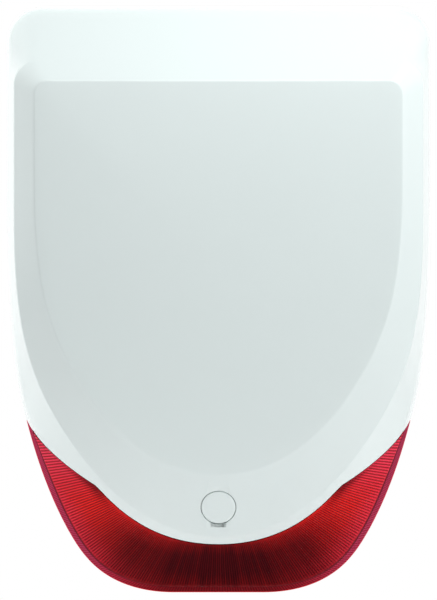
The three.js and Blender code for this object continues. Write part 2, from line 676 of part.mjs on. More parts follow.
add('main_board', mainBoard(), FINISH.board);
BOARD_CORNERS.forEach((p, i) => add(`board_screw_${i + 1}`, smallScrew(p, BOARD_FRONT), FINISH.steel));
add('terminal_block', terminalBlock(), FINISH.green);
add('controller_chip', onBoard(24, 38, 1.6, 10, 24), FINISH.black);
add('capacitor_1', capacitor(44, 38), FINISH.can);
add('capacitor_2', capacitor(57, 38), FINISH.can);
add('boost_transformer', transformer(), FINISH.black);
add('battery_socket', onBoard(72, 82, 7, 30, 37), FINISH.led);
add('sounder_socket', onBoard(-7, 0, 7, 18, 28), FINISH.led);
add('strobe_socket', onBoard(50, 60, 7, -31, -24), FINISH.led);

add('battery_holder', batteryHolder(), FINISH.black);
add('battery_cell_left', batteryCell(-1), FINISH.cell);
add('battery_cell_right', batteryCell(1), FINISH.cell);
CONTACT_XS.forEach((x, i) => add(`battery_contact_${i + 1}`, batteryContact(x), FINISH.steel));
const batteryRoute = [
  [BATTERY_LEAD_X, -20, 84], [73, -21, 78], [78, -20, 62], [77.5, -18.5, 48], [77, -18, 37.4],
];
add('battery_lead', lead(1.2, ...batteryRoute), FINISH.red);

add('sounder_body', sounderBody(), FINISH.black);
add('sounder_disc', sounderDisc(), FINISH.brass);
add('sounder_horn', sounderHorn(), FINISH.black);
SOUNDER_LUGS.forEach((p, i) => add(`sounder_screw_${i + 1}`, smallScrew(p, 11), FINISH.steel));
add('sounder_lead', lead(1, [-26, -19.5, 24], [-19, -20, 24.6], [-13, -21, 24], [-8.4, -18, 23]), FINISH.red);

add('strobe_reflector', strobeReflector(), FINISH.silver);
add('strobe_board', strobeBoard(), FINISH.black);
[-24.5, -9, 9, 24.5].forEach((x, i) => add(`strobe_led_${i + 1}`, strobeLed(x), FINISH.led));
REFLECTOR_SCREWS.forEach((p, i) => add(`reflector_screw_${i + 1}`, smallScrew(p, 14), FINISH.steel));
add('strobe_screw', smallScrew(STROBE_SCREW, STROBE.back + 1.6), FINISH.steel);
const strobeRoute = [
  [55, -18, -31.4], [54, -20, -42], [44, -17, -70], [30, -16, -100], [20, -17.5, -118], [17, -16, -125.6],
];
add('strobe_lead', lead(1, ...strobeRoute), FINISH.red);

add('tamper_housing', tamperHousing(), FINISH.grey);
add('wall_plunger', wallPlunger(), FINISH.red);
add('cover_plunger', coverPlunger(), FINISH.red);

export default siren;
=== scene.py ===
"""Looks of the wall-mounted alarm siren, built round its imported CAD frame.

Lengths in the shape functions are millimetres in the frame's axes: +X right, +Z up, the wall at y = 0 and
the siren standing out of it towards -Y. "Depth" is the distance from the wall, so depth = -y.
"""
import math

import bmesh
import bpy
import numpy as np
from mathutils import Matrix, Vector
from mathutils.bvhtree import BVHTree


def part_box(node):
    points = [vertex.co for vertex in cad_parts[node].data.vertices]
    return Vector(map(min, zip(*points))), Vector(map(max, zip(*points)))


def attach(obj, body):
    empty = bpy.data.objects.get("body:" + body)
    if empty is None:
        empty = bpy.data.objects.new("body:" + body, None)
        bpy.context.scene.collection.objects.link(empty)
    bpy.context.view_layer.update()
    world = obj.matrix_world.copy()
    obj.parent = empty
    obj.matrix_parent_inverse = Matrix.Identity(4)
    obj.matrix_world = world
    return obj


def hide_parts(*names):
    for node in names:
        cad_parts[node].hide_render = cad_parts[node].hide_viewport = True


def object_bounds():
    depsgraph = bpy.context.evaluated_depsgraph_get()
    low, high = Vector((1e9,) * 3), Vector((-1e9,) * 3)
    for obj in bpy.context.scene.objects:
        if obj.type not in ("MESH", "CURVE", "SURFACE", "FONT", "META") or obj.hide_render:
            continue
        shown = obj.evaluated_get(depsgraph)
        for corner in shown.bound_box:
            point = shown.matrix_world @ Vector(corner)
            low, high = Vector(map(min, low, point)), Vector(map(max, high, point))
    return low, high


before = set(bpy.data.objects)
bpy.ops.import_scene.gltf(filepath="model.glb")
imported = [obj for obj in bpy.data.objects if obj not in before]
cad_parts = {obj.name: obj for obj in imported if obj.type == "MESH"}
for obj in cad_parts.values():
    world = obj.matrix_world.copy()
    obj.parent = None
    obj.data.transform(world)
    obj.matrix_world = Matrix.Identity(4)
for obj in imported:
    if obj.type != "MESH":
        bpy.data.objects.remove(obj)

CAD_BOX = [list(corner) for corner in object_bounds()]
MM = 0.001


def box_mm(node):
    """Lowest and highest corner of a CAD node, in millimetres."""
    low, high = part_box(node)
    return np.array(low) / MM, np.array(high) / MM


def centre_mm(node):
    low, high = box_mm(node)
    return (low + high) / 2


# ---- Housing dimensions ----
COVER_LOW, COVER_HIGH = box_mm("front_cover")
HALF_WIDTH = COVER_HIGH[0]
TOP = COVER_HIGH[2]
BOTTOM = box_mm("flash_lens")[0][2]
FRONT = -COVER_LOW[1]
BACK_GAP = -COVER_HIGH[1]
CORNER = 17.5
SHOULDER_DEPTH = 22
FACE_DEPTH = 50
CROWN = 2.5
PANEL_DEPTH = FRONT - CROWN
FACE_BOTTOM = -116
PANEL_BOTTOM = -85.8
PANEL_CENTRE = np.array([0, 15])
WALL = 2.5
LENS_WALL = 2.4
LENS_RECESS = 1.2
LENS_FLANGE_WALL = 1.8
GAP = 0.3
HALF_STEPS = 420
CREASE_STEPS = 5
PANEL_CREASE_REACH = 0.8
WIRE_SIDES = 14
BEYOND = 90


# ---- Outlines: half paths of (x, z) points from the top centre round the right side ----
def arc(centre, radius, start, end, steps=160):
    angles = np.radians(np.linspace(start, end, steps + 1))
    return np.column_stack([centre[0] + radius * np.cos(angles), centre[1] + radius * np.sin(angles)])


def bezier(a, b, c, d, steps=300):
    t = np.linspace(0, 1, steps + 1)[:, None]
    a, b, c, d = map(np.array, (a, b, c, d))
    return (1 - t) ** 3 * a + 3 * t * (1 - t) ** 2 * b + 3 * t ** 2 * (1 - t) * c + t ** 3 * d


def joined(*stretches):
    """One polyline through several stretches, without repeated points."""
    points = np.vstack([np.atleast_2d(stretch) for stretch in stretches])
    keep = np.r_[True, np.linalg.norm(np.diff(points, axis=0), axis=1) > 1e-6]
    return points[keep]


def lengths_along(points):
    return np.r_[0, np.cumsum(np.linalg.norm(np.diff(points, axis=0), axis=1))]


def resampled(points, steps):
    """The same path with equal steps along its length."""
    lengths = lengths_along(points)
    wanted = np.linspace(0, lengths[-1], steps + 1)
    return np.column_stack([np.interp(wanted, lengths, column) for column in points.T])


def outer_half(top=TOP):
    return joined(
        (0, top),
        arc((HALF_WIDTH - CORNER, top - CORNER), CORNER, 90, 0),
        bezier((HALF_WIDTH, 70), (HALF_WIDTH, -29), (97.6, -46.2), (94.5, -58.8)),
        bezier((94.5, -58.8), (84.2, -99.8), (69.8, -120.9), (65.9, -125.4)),
        bezier((65.9, -125.4), (63.7, -127.9), (52.3, BOTTOM), (22, BOTTOM)),
        (0, BOTTOM),
    )


def face_half():
    return joined(
        (0, 117.7),
        arc((87.8, 105.2), 12.5, 90, 0),
        bezier((100.3, 40), (100.3, -15), (92.6, -39.5), (73, -68.6)),
        bezier((73, -68.6), (44.5, -110.8), (13.9, FACE_BOTTOM), (0, FACE_BOTTOM)),
    )


def panel_half():
    return joined(
        (0, 107.4),
        arc((83.3, 100.4), 7, 90, 0),
        bezier((90.3, 60), (90.3, 10), (83.9, -9.8), (74, -29.4)),
        bezier((74, -29.4), (59.1, -58.9), (34, PANEL_BOTTOM), (0, PANEL_BOTTOM)),
    )


def cover_edge_half():
    """The cover's lower edge, from past the right side to the centre."""
    return joined(
        (112, -28.4),
        bezier((94.8, -58), (93.5, -60.3), (87.9, -73.5), (60.5, -90.6)),
        bezier((56.5, -94.6), (41.1, -111.2), (22.6, -119.6), (0, -119.6)),
    )


def mirrored(half):
    return np.vstack([half, half[-2::-1] * [-1, 1]])


def closed(half, steps=HALF_STEPS):
    return mirrored(resampled(half, steps))[:-1]


def moved(points, distance, loop=True):
    """Each point moved square to the outline, inwards by the distance."""
    before, after = np.roll(points, 1, axis=0), np.roll(points, -1, axis=0)
    if not loop:
        before[0], after[-1] = points[0], points[-1]
    along = after - before
    along /= np.linalg.norm(along, axis=1)[:, None]
    return points + np.column_stack([along[:, 1], -along[:, 0]]) * np.reshape(distance, (-1, 1))


def nearest_on(outline, points):
    """For each point, the nearest point of a closed outline."""
    starts = outline
    along = np.roll(outline, -1, axis=0) - starts
    found = []
    for point in points:
        share = np.einsum("ij,ij->i", point - starts, along) / np.einsum("ij,ij->i", along, along)
        candidates = starts + np.clip(share, 0, 1)[:, None] * along
        found.append(candidates[np.argmin(np.linalg.norm(candidates - point, axis=1))])
    return np.array(found)


def smoothstep(value, low, high):
    t = np.clip((value - low) / (high - low), 0, 1)
    return t * t * (3 - 2 * t)


OUTER = closed(outer_half())
SHOULDER = moved(OUTER, 0.9 + 2.4 * smoothstep(-OUTER[:, 1], 40, 95))
FACE = nearest_on(closed(face_half(), 3000), SHOULDER)
PANEL = nearest_on(closed(panel_half(), 3000), FACE)


# ---- Meshes ----
def ring(points, depth):
    return np.column_stack([points[:, 0], np.full(len(points), -float(depth)), points[:, 1]])


def shade_by_angle(piece, degrees=32):
    for polygon in piece.data.polygons:
        polygon.use_smooth = True
    piece.data.set_sharp_from_angle(angle=math.radians(degrees))


def piece_from(name, points, faces, smooth=32):
    """A new object from millimetre points and faces, with its normals pointing out."""
    mesh = bpy.data.meshes.new(name)
    mesh.from_pydata((np.asarray(points, float) * MM).tolist(), [], [list(map(int, face)) for face in faces])
    work = bmesh.new()
    work.from_mesh(mesh)
    bmesh.ops.recalc_face_normals(work, faces=work.faces)
    work.to_mesh(mesh)
    work.free()
    piece = bpy.data.objects.new(name, mesh)
    bpy.context.collection.objects.link(piece)
    shade_by_angle(piece, smooth)
    return piece


def strip_faces(rings, count, offset=0, loop=True):
    """Quads between successive rings of count points each."""
    faces = []
    for k in range(rings - 1):
        for i in range(count if loop else count - 1):
            j = (i + 1) % count
            a, b = offset + k * count, offset + (k + 1) * count
            faces.append((a + i, a + j, b + j, b + i))
    return faces


def across_crease(before, corner, after, reach):
    """Rings that round a crease, starting and ending at most reach from it."""
    def towards(other):
        way = other - corner
        length = np.linalg.norm(way, axis=1)[:, None]
        return corner + way / length * np.minimum(reach, 0.45 * length)
    start, end = towards(before), towards(after)
    shares = np.linspace(0, 1, CREASE_STEPS + 1)
    return [(1 - t) ** 2 * start + 2 * t * (1 - t) * corner + t ** 2 * end for t in shares]


def between(a, b, steps):
    """The rings strictly between two rings."""
    return [a + (b - a) * t for t in np.linspace(0, 1, steps + 1)[1:-1]]


def housing_rings(skin=0.0, recess=0.0, shoulder_reach=5.0):
    """Rings of the housing's form, shrunk by a skin depth, from the back edge to near the panel's centre."""
    back = ring(moved(OUTER, skin), BACK_GAP)
    shoulder = ring(moved(SHOULDER, skin), SHOULDER_DEPTH - 0.35 * skin)
    face = ring(moved(FACE, skin), FACE_DEPTH - recess - 0.9 * skin)
    panel_points = moved(PANEL, 0.45 * skin)
    panel_depth = PANEL_DEPTH - recess - skin
    panel = ring(panel_points, panel_depth)

    def crown(share):
        points = panel_points + (PANEL_CENTRE - panel_points) * share
        return ring(points, panel_depth + CROWN * (1 - (1 - share) ** 2))
    at_shoulder = across_crease(back, shoulder, face, shoulder_reach)
    at_face = across_crease(shoulder, face, panel, PANEL_CREASE_REACH)
    at_panel = across_crease(face, panel, crown(0.1), PANEL_CREASE_REACH)
    inner = [crown(share) for share in (0.06, 0.14, 0.24, 0.36, 0.5, 0.64, 0.78, 0.9, 0.97)]
    return [
        back, *between(back, at_shoulder[0], 3), *at_shoulder,
        *between(at_shoulder[-1], at_face[0], 5), *at_face,
        *between(at_face[-1], at_panel[0], 3), *at_panel, *inner,
    ]


def housing_shell(name, wall):
    """The housing as a closed shell of the given wall."""
    outside, inside = housing_rings(), housing_rings(wall)
    count = len(OUTER)
    points = np.vstack(outside + inside)
    half = len(outside) * count
    faces = strip_faces(len(outside), count) + strip_faces(len(inside), count, half)
    faces += [(i, (i + 1) % count, half + (i + 1) % count, half + i) for i in range(count)]
    tips = (((len(outside) - 1) * count, FRONT), (half + (len(inside) - 1) * count, FRONT - wall))
    for last, tip_depth in tips:
        points = np.vstack([points, [PANEL_CENTRE[0], -tip_depth, PANEL_CENTRE[1]]])
        tip = len(points) - 1
        faces += [(last + i, last + (i + 1) % count, tip) for i in range(count)]
    return piece_from(name, points, faces)


def prism(name, outline, near_wall, far_from_wall):
    """A front-view outline made solid between two depths."""
    count, outline = len(outline), np.asarray(outline, float)
    points = np.vstack([ring(outline, near_wall), ring(outline, far_from_wall)])
    faces = strip_faces(2, count) + [tuple(range(count)), tuple(range(count, 2 * count))]
    return piece_from(name, points, faces)


def turned(name, profile, place, segments=96, matrix=None):
    """A solid of revolution from (radius, depth) pairs, about the line along Y through place = (x, z).

    A matrix, if given, takes the piece's own axis (local +Z, pointing out of the wall) to its place instead.
    """
    profile = [tuple(map(float, pair)) for pair in profile]
    open_ends = profile[0][0] == 0 and profile[-1][0] == 0
    angles = np.linspace(0, 2 * math.pi, segments, endpoint=False)
    points, rows = [], []
    for radius, depth in profile:
        if radius == 0:
            rows.append([len(points)] * segments)
            points.append((0, 0, depth))
        else:
            rows.append(list(range(len(points), len(points) + segments)))
            points += [(radius * math.cos(a), radius * math.sin(a), depth) for a in angles]
    pairs = list(zip(rows, rows[1:])) if open_ends else list(zip(rows, rows[1:] + rows[:1]))
    faces = []
    for lower, upper in pairs:
        for i in range(segments):
            j = (i + 1) % segments
            corners = [lower[i], lower[j], upper[j], upper[i]]
            faces.append(tuple(dict.fromkeys(corners)))
    if matrix is None:
        matrix = Matrix(((1, 0, 0, place[0]), (0, 0, -1, 0), (0, 1, 0, place[1]), (0, 0, 0, 1)))
    placed = np.array([matrix @ Vector(point) for point in points])
    return piece_from(name, placed, [face for face in faces if len(face) > 2])


def block(name, low, high, bevel=0.0, matrix=None):
    """A box between two corners, with its edges rounded."""
    low, high = np.minimum(low, high), np.maximum(low, high)
    mesh = bpy.data.meshes.new(name)
    work = bmesh.new()
    bmesh.ops.create_cube(work, size=1)
    middle, size = (low + high) / 2, high - low
    for vertex in work.verts:
        vertex.co = Vector(middle + np.array(vertex.co) * size)
    if bevel:
        bmesh.ops.bevel(work, geom=work.edges[:], offset=bevel, segments=3, profile=0.5,
                        affect="EDGES", clamp_overlap=True)
    for vertex in work.verts:
        vertex.co = (matrix @ vertex.co if matrix else vertex.co) * MM
    bmesh.ops.recalc_face_normals(work, faces=work.faces)
    work.to_mesh(mesh)
    work.free()
    piece = bpy.data.objects.new(name, mesh)
    bpy.context.collection.objects.link(piece)
    shade_by_angle(piece)
    return piece


def front_block(name, left, right, near_wall, far_from_wall, bottom, top, bevel=0.0):
    return block(name, (left, -far_from_wall, bottom), (right, -near_wall, top), bevel)


def combine(piece, tools, operation):
    """Joins tools to a piece, or cuts them out of it, one after another."""
    for tool in tools:
        step = piece.modifiers.new("step", "BOOLEAN")
        step.solver = "MANIFOLD"
        step.operation = operation
        step.object = tool
        seen = piece.evaluated_get(bpy.context.evaluated_depsgraph_get())
        mesh = bpy.data.meshes.new_from_object(seen)
        piece.modifiers.clear()
        old = piece.data
        piece.data = mesh
        bpy.data.meshes.remove(old)
        bpy.data.objects.remove(tool)
    piece.data.name = piece.name
    shade_by_angle(piece)
    return piece


def cut(piece, *tools):
    return combine(piece, tools, "DIFFERENCE")


def unite(piece, *tools):
    return combine(piece, tools, "UNION")


def gathered(name, *parts):
    """One object made of several separate closed meshes."""
    for part in parts:
        part.select_set(True)
    with bpy.context.temp_override(active_object=parts[0], selected_editable_objects=list(parts)):
        bpy.ops.object.join()
    parts[0].name = name
    parts[0].data.name = name
    return parts[0]


# ---- Node materials ----
class Shader:
    """A Principled material and short calls for the nodes that feed it."""

    def __init__(self, name):
        self.material = bpy.data.materials.new(name)
        self.material.use_nodes = True
        self.tree = self.material.node_tree
        self.principled = self.tree.nodes["Principled BSDF"]
        self.coordinates = self.tree.nodes.new("ShaderNodeTexCoord").outputs["Object"]
        self.rounded = None

    def new(self, kind, **settings):
        node = self.tree.nodes.new(kind)
        for key, value in settings.items():
            setattr(node, key, value)
        return node

    def link(self, source, target):
        self.tree.links.new(source, target)

    def fixed(self, **values):
        """Sets constant values on the shader's own sockets."""
        for name, value in values.items():
            self.principled.inputs[name.replace("_", " ")].default_value = value
        return self

    def scaled(self, *scale):
        node = self.new("ShaderNodeMapping")
        self.link(self.coordinates, node.inputs["Vector"])
        node.inputs["Scale"].default_value = scale
        return node.outputs["Vector"]

    def noise(self, scale, detail=3.0, roughness=0.5, vector=None):
        node = self.new("ShaderNodeTexNoise")
        self.link(vector or self.coordinates, node.inputs["Vector"])
        node.inputs["Scale"].default_value = scale
        node.inputs["Detail"].default_value = detail
        node.inputs["Roughness"].default_value = roughness
        return node.outputs["Fac"]

    def spread(self, value, low, high, start=0.3, end=0.7):
        """A value between start and end taken to between low and high."""
        node = self.new("ShaderNodeMapRange")
        self.link(value, node.inputs["Value"])
        for name, number in (("From Min", start), ("From Max", end), ("To Min", low), ("To Max", high)):
            node.inputs[name].default_value = number
        return node.outputs["Result"]

    def maths(self, operation, a, b=None):
        node = self.new("ShaderNodeMath", operation=operation)
        for socket, value in zip(node.inputs, (a, b)):
            if isinstance(value, (int, float)):
                socket.default_value = value
            elif value is not None:
                self.link(value, socket)
        return node.outputs[0]

    def mix(self, share, a, b):
        """Mixes two colours, given as sockets or as (r, g, b)."""
        node = self.new("ShaderNodeMix", data_type="RGBA", blend_type="MIX")
        if isinstance(share, (int, float)):
            node.inputs[0].default_value = share
        else:
            self.link(share, node.inputs[0])
        for socket, value in ((node.inputs[6], a), (node.inputs[7], b)):
            if isinstance(value, tuple):
                socket.default_value = (*value, 1)
            else:
                self.link(value, socket)
        return node.outputs[2]

    def edges(self, radius):
        """0 on flat stretches and up to 1 at edges within a radius in metres, which it also softens."""
        rounded = self.new("ShaderNodeBevel", samples=4)
        rounded.inputs["Radius"].default_value = radius
        plain = self.new("ShaderNodeNewGeometry")
        facing = self.new("ShaderNodeVectorMath", operation="DOT_PRODUCT")
        self.link(rounded.outputs[0], facing.inputs[0])
        self.link(plain.outputs["Normal"], facing.inputs[1])
        self.rounded = rounded.outputs[0]
        return self.spread(facing.outputs["Value"], 1, 0, 0.7, 0.98)

    def bump(self, height, distance):
        node = self.new("ShaderNodeBump")
        node.inputs["Strength"].default_value = 1.0
        node.inputs["Distance"].default_value = distance
        self.link(height, node.inputs["Height"])
        if self.rounded is not None:
            self.link(self.rounded, node.inputs["Normal"])
        self.link(node.outputs[0], self.principled.inputs["Normal"])
        return self

    def colour(self, source):
        self.link(source, self.principled.inputs["Base Color"])
        return self

    def rough(self, source):
        self.link(source, self.principled.inputs["Roughness"])
        return self


def tinted(colour, factor):
    return tuple(min(1.0, channel * factor) for channel in colour)


def moulded_plastic(name, colour, roughness, grain, grain_scale, wear=1.12, coat=0.0):
    """Moulded plastic: faint cloudy tone, fine grain, uneven gloss and slightly polished edges."""
    s = Shader(name)
    cloud = s.spread(s.noise(9, 4), 0, 1)
    speck = s.spread(s.noise(260, 2), 0, 1)
    body = s.mix(cloud, tinted(colour, 0.965), tinted(colour, 1.02))
    body = s.mix(s.maths("MULTIPLY", speck, 0.25), body, tinted(colour, 0.93))
    worn = s.edges(0.0003)
    s.colour(s.mix(s.maths("MULTIPLY", worn, 0.6), body, tinted(colour, wear)))
    uneven = s.spread(s.noise(45, 5, 0.6), roughness * 0.85, roughness * 1.2)
    s.rough(s.maths("SUBTRACT", uneven, s.maths("MULTIPLY", worn, roughness * 0.25)))
    s.bump(s.noise(grain_scale, 3, 0.6), grain)
    return s.fixed(Coat_Weight=coat, Coat_Roughness=0.06).material


def metal(name, colour, roughness, tarnish=None):
    """Plated or drawn metal: fine grain, dull patches and bright edges."""
    s = Shader(name)
    grain = s.noise(700, 4, 0.65)
    patches = s.spread(s.noise(60, 4), 0, 1)
    dull = tarnish or tinted(colour, 0.72)
    body = s.mix(s.maths("MULTIPLY", patches, 0.5), colour, dull)
    worn = s.edges(0.00015)
    s.colour(s.mix(s.maths("MULTIPLY", worn, 0.7), body, tinted(colour, 1.2)))
    s.rough(s.spread(s.noise(240, 4, 0.6), roughness * 0.7, roughness * 1.5))
    s.bump(grain, 0.00001)
    return s.fixed(Metallic=1.0).material


def cover_material():
    """Gloss white moulding: pale and slightly cool, with a faint flow pattern and a soft orange peel."""
    s = Shader("cover_white_gloss")
    white, cool = (0.765, 0.845, 0.838), (0.75, 0.832, 0.826)
    flow = s.spread(s.noise(7, 2, 0.4, s.scaled(1, 1, 0.35)), 0, 1, 0.15, 0.85)
    speck = s.spread(s.noise(900, 2), 0, 1, 0.66, 0.85)
    body = s.mix(flow, white, cool)
    body = s.mix(s.maths("MULTIPLY", speck, 0.08), body, (0.70, 0.75, 0.75))
    worn = s.edges(0.00035)
    s.colour(s.mix(s.maths("MULTIPLY", worn, 0.5), body, (0.87, 0.89, 0.89)))
    s.rough(s.spread(s.noise(30, 3, 0.5), 0.2, 0.28, 0.15, 0.85))
    s.bump(s.noise(160, 3, 0.5), 0.000006)
    return s.fixed(IOR=1.49, Coat_Weight=0.25, Coat_Roughness=0.05).material


def lens_material():
    """Clear red lens with light and shade painted in: a pale painted reflection at its tips, deep red low in
    the middle from painted shade of its dark inside, a dusky painted reflection on its side wall and painted
    shade in its rib valleys.
    """
    s = Shader("lens_red_clear")

    def measured(label):
        return s.new("ShaderNodeAttribute", attribute_name=label).outputs["Fac"]
    rib, painted_shade, tip, side_wall_reflection, gloss = map(measured, ("rib", "painted_shade", "tip", "side_wall_reflection", "gloss"))
    cloud = s.spread(s.noise(40, 4), 0, 1)
    body = s.mix(s.maths("MULTIPLY", cloud, 0.25), (0.97, 0.016, 0.012), (0.72, 0.009, 0.010))
    # Painted reflection: the tips and a band by the rim are pale pink.
    body = s.mix(tip, body, (0.99, 0.045, 0.105))
    # Painted reflection: dusky mauve on the side wall, fading lower down.
    body = s.mix(s.maths("MULTIPLY", side_wall_reflection, 0.85), body, (0.34, 0.050, 0.125))
    # Painted shade: dark where the lens's dark inside shows through, and in the cover's shadow along its
    # edge.
    body = s.mix(painted_shade, body, (0.050, 0.002, 0.005))
    # Painted shade in the rib valleys, darker where the lens is painted dark.
    rib_valley_shade = s.mix(painted_shade, (0.22, 0.003, 0.006), (0.018, 0.001, 0.002))
    s.colour(s.mix(s.maths("MULTIPLY", rib, 0.97), body, rib_valley_shade))
    s.rough(s.spread(s.noise(80, 4), 0.12, 0.22))
    s.link(s.maths("MULTIPLY", gloss, 0.13), s.principled.inputs["Coat Weight"])
    s.link(s.maths("MULTIPLY", gloss, 0.04), s.principled.inputs["Transmission Weight"])
    s.edges(0.0002)
    s.bump(s.noise(500, 3), 0.000006)
    return s.fixed(IOR=1.49, Specular_IOR_Level=0.0, Coat_Roughness=0.07).material


MATERIALS = {
    "cover": cover_material(),
    "lens": lens_material(),
    "plate": moulded_plastic("plate_white", (0.72, 0.75, 0.75), 0.42, 0.00004, 500),
    "black": moulded_plastic("black_nylon", (0.018, 0.019, 0.021), 0.42, 0.00005, 700, wear=2.2),
    "grey": moulded_plastic("grey_nylon", (0.26, 0.28, 0.30), 0.45, 0.00004, 600, wear=1.4),
    "green": moulded_plastic("green_nylon", (0.045, 0.27, 0.08), 0.38, 0.00003, 600, wear=1.5),
    "cream": moulded_plastic("cream_nylon", (0.74, 0.70, 0.58), 0.4, 0.00003, 600),
    "red": moulded_plastic("red_insulation", (0.42, 0.025, 0.02), 0.48, 0.00002, 900, wear=1.3),
    "rubber": moulded_plastic("black_rubber", (0.022, 0.022, 0.022), 0.75, 0.00008, 900, wear=1.8),
    "led": moulded_plastic("led_lens", (0.80, 0.76, 0.55), 0.15, 0.00001, 600, coat=0.5),
    "steel": metal("zinc_steel", (0.62, 0.63, 0.64), 0.28),
    "brass": metal("brass", (0.72, 0.50, 0.20), 0.26, tarnish=(0.45, 0.28, 0.10)),
    "chrome": metal("chrome", (0.80, 0.82, 0.84), 0.12),
    "board": moulded_plastic("board_green", (0.012, 0.11, 0.045), 0.32, 0.00002, 900, coat=0.3),
    "dark_board": moulded_plastic("board_black", (0.02, 0.022, 0.024), 0.35, 0.00002, 900, coat=0.3),
    "cell": moulded_plastic("cell_wrap", (0.03, 0.10, 0.26), 0.3, 0.00002, 600, coat=0.4),
    "cell_band": moulded_plastic("cell_band", (0.62, 0.60, 0.56), 0.3, 0.00002, 600, coat=0.4),
    "track": moulded_plastic("board_tracks", (0.03, 0.19, 0.075), 0.3, 0.00002, 900, coat=0.3),
    "ferrite": moulded_plastic("ferrite", (0.035, 0.034, 0.036), 0.6, 0.00007, 1200, wear=1.9),
    "copper": metal("copper", (0.62, 0.22, 0.08), 0.3, tarnish=(0.36, 0.10, 0.03)),
    "sleeve": moulded_plastic("capacitor_sleeve", (0.03, 0.06, 0.13), 0.28, 0.00002, 600, coat=0.3),
}


def finished(piece, material, body, slot, *nodes):
    """Gives a piece its material and its body, and hides the CAD nodes that it stands for; slot is not used.
    """
    piece.data.materials.clear()
    piece.data.materials.append(MATERIALS[material])
    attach(piece, body)
    if nodes:
        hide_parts(*nodes)
    return piece


# ---- Frame of the lower bevel at the cover screw: local Z points out of it ----
SCREW_Z = centre_mm("cover_screw")[2]
BEVEL_ANGLE = math.atan((PANEL_DEPTH - FACE_DEPTH) / (PANEL_BOTTOM - FACE_BOTTOM))
BEVEL_DEPTH = FACE_DEPTH + (SCREW_Z - FACE_BOTTOM) * math.tan(BEVEL_ANGLE)
ON_BEVEL = Matrix((
    (1, 0, 0, 0),
    (0, -math.sin(BEVEL_ANGLE), -math.cos(BEVEL_ANGLE), -BEVEL_DEPTH),
    (0, math.cos(BEVEL_ANGLE), -math.sin(BEVEL_ANGLE), SCREW_Z),
    (0, 0, 0, 1),
))
CAP_RADIUS = 8.4
WELL_RADIUS = 6.3
WELL_OUTSIDE = 8.2
WELL_FLOOR = 32
BOSS_RADIUS = 11.4
REBATE = 2.1
HINGE = centre_mm("hinge_pin_left")[1:]
HINGE_X = centre_mm("hinge_pin_right")[0]


def lens_zone(rise):
    edge = moved(mirrored(resampled(cover_edge_half(), 160)), rise, loop=False)
    return prism("zone", np.vstack([edge, [(-130, -170), (130, -170)]]), -5, BEYOND)


def side_prism(name, outline, left, right):
    """A side-view outline of (y, z) points made solid between two x."""
    count = len(outline)
    points = [(x, y, z) for x in (left, right) for y, z in outline]
    faces = strip_faces(2, count) + [tuple(range(count)), tuple(range(count, 2 * count))]
    return piece_from(name, points, faces)


def rod_profile(radius, start, end):
    return [(0, start), (radius, start), (radius, end), (0, end)]


def hinge_rod(radius, half_length):
    """A rod along the hinge's axis."""
    place = pointing_x(-half_length, *HINGE)
    return turned("hinge_rod", rod_profile(radius, 0, 2 * half_length), None, 48, place)


# ---- Cover ----
def cover_knuckle(x):
    y, z = HINGE
    outline = [(-4, 142.6), (-17, 142.6), (y - 3.2, z), (y - 2.4, z - 2.2), (y, z - 3.3),
               (y + 2.4, z - 2.2), (y + 3.2, z)]
    return side_prism("knuckle", outline, x - 2.5, x + 2.5)


def cover_inner_parts():
    """Screw well, boss behind the cap, hinge knuckles and the boss that presses the tamper switch."""
    plunger_x, _, plunger_z = centre_mm("cover_plunger")
    plunger_tip = -box_mm("cover_plunger")[0][1] + GAP
    parts = [
        turned("well", rod_profile(WELL_OUTSIDE, WELL_FLOOR, 58), (0, SCREW_Z)),
        turned("boss", rod_profile(BOSS_RADIUS, -6, -0.8), None, 96, ON_BEVEL),
        cover_knuckle(-HINGE_X),
        cover_knuckle(HINGE_X),
        turned("boss", rod_profile(3, plunger_tip, 55), (plunger_x, plunger_z), 48),
    ]
    return [combine(part, [housing_solid(0.8)], "INTERSECT") for part in parts]


def cover_openings():
    """Rebate and slot of the cap, well and hole of the screw, and bores of the hinge."""
    rim = CAP_RADIUS + GAP
    rebate = [(0, -REBATE), (rim, -REBATE), (rim, -0.3), (rim + 0.08, -0.1), (rim + 0.3, 0.03),
              (rim + 2, 0.2), (rim + 2, 8), (0, 8)]
    return [
        turned("rebate", rebate, None, 128, ON_BEVEL),
        turned("bore", rod_profile(WELL_RADIUS, -9, 8), None, 96, ON_BEVEL),
        turned("bore", rod_profile(WELL_RADIUS, WELL_FLOOR + 2, BEVEL_DEPTH - 1), (0, SCREW_Z)),
        turned("bore", rod_profile(2.4, 20, 60), (0, SCREW_Z), 48),
        block("slot", (-3.7, -10.3, -4.4), (3.7, -6.5, 0.5), 0, ON_BEVEL),
        hinge_rod(1.8, 80),
    ]


def front_cover():
    cover = cut(housing_shell("front_cover_shell", WALL), lens_zone(0))
    cover = unite(cover, *cover_inner_parts())
    cover = cut(cover, *cover_openings())
    cover.name = "cover_moulding"
    finished(cover, "cover", "cover", "cover", "front_cover")


# ---- Flash lens: a grid of ribs fanned from its rim to the cover's edge ----
RIBS_A_SIDE = 98
STEPS_A_RIB = 6
RIB_DEPTH = 0.13
SHARES = np.linspace(0, 1, RIBS_A_SIDE * STEPS_A_RIB + 1)
RIB_PHASE = RIBS_A_SIDE * (SHARES + 0.12 * SHARES * (SHARES - 1))
RIB_WAVE = 0.5 - 0.5 * np.cos(2 * np.pi * RIB_PHASE)


def rib_directions():
    """Front-view direction of each rib from the rim: level at the tips and upright at the bottom."""
    angles = np.radians(90 * SHARES ** 1.25)
    return np.column_stack([-np.cos(angles), np.sin(angles)])


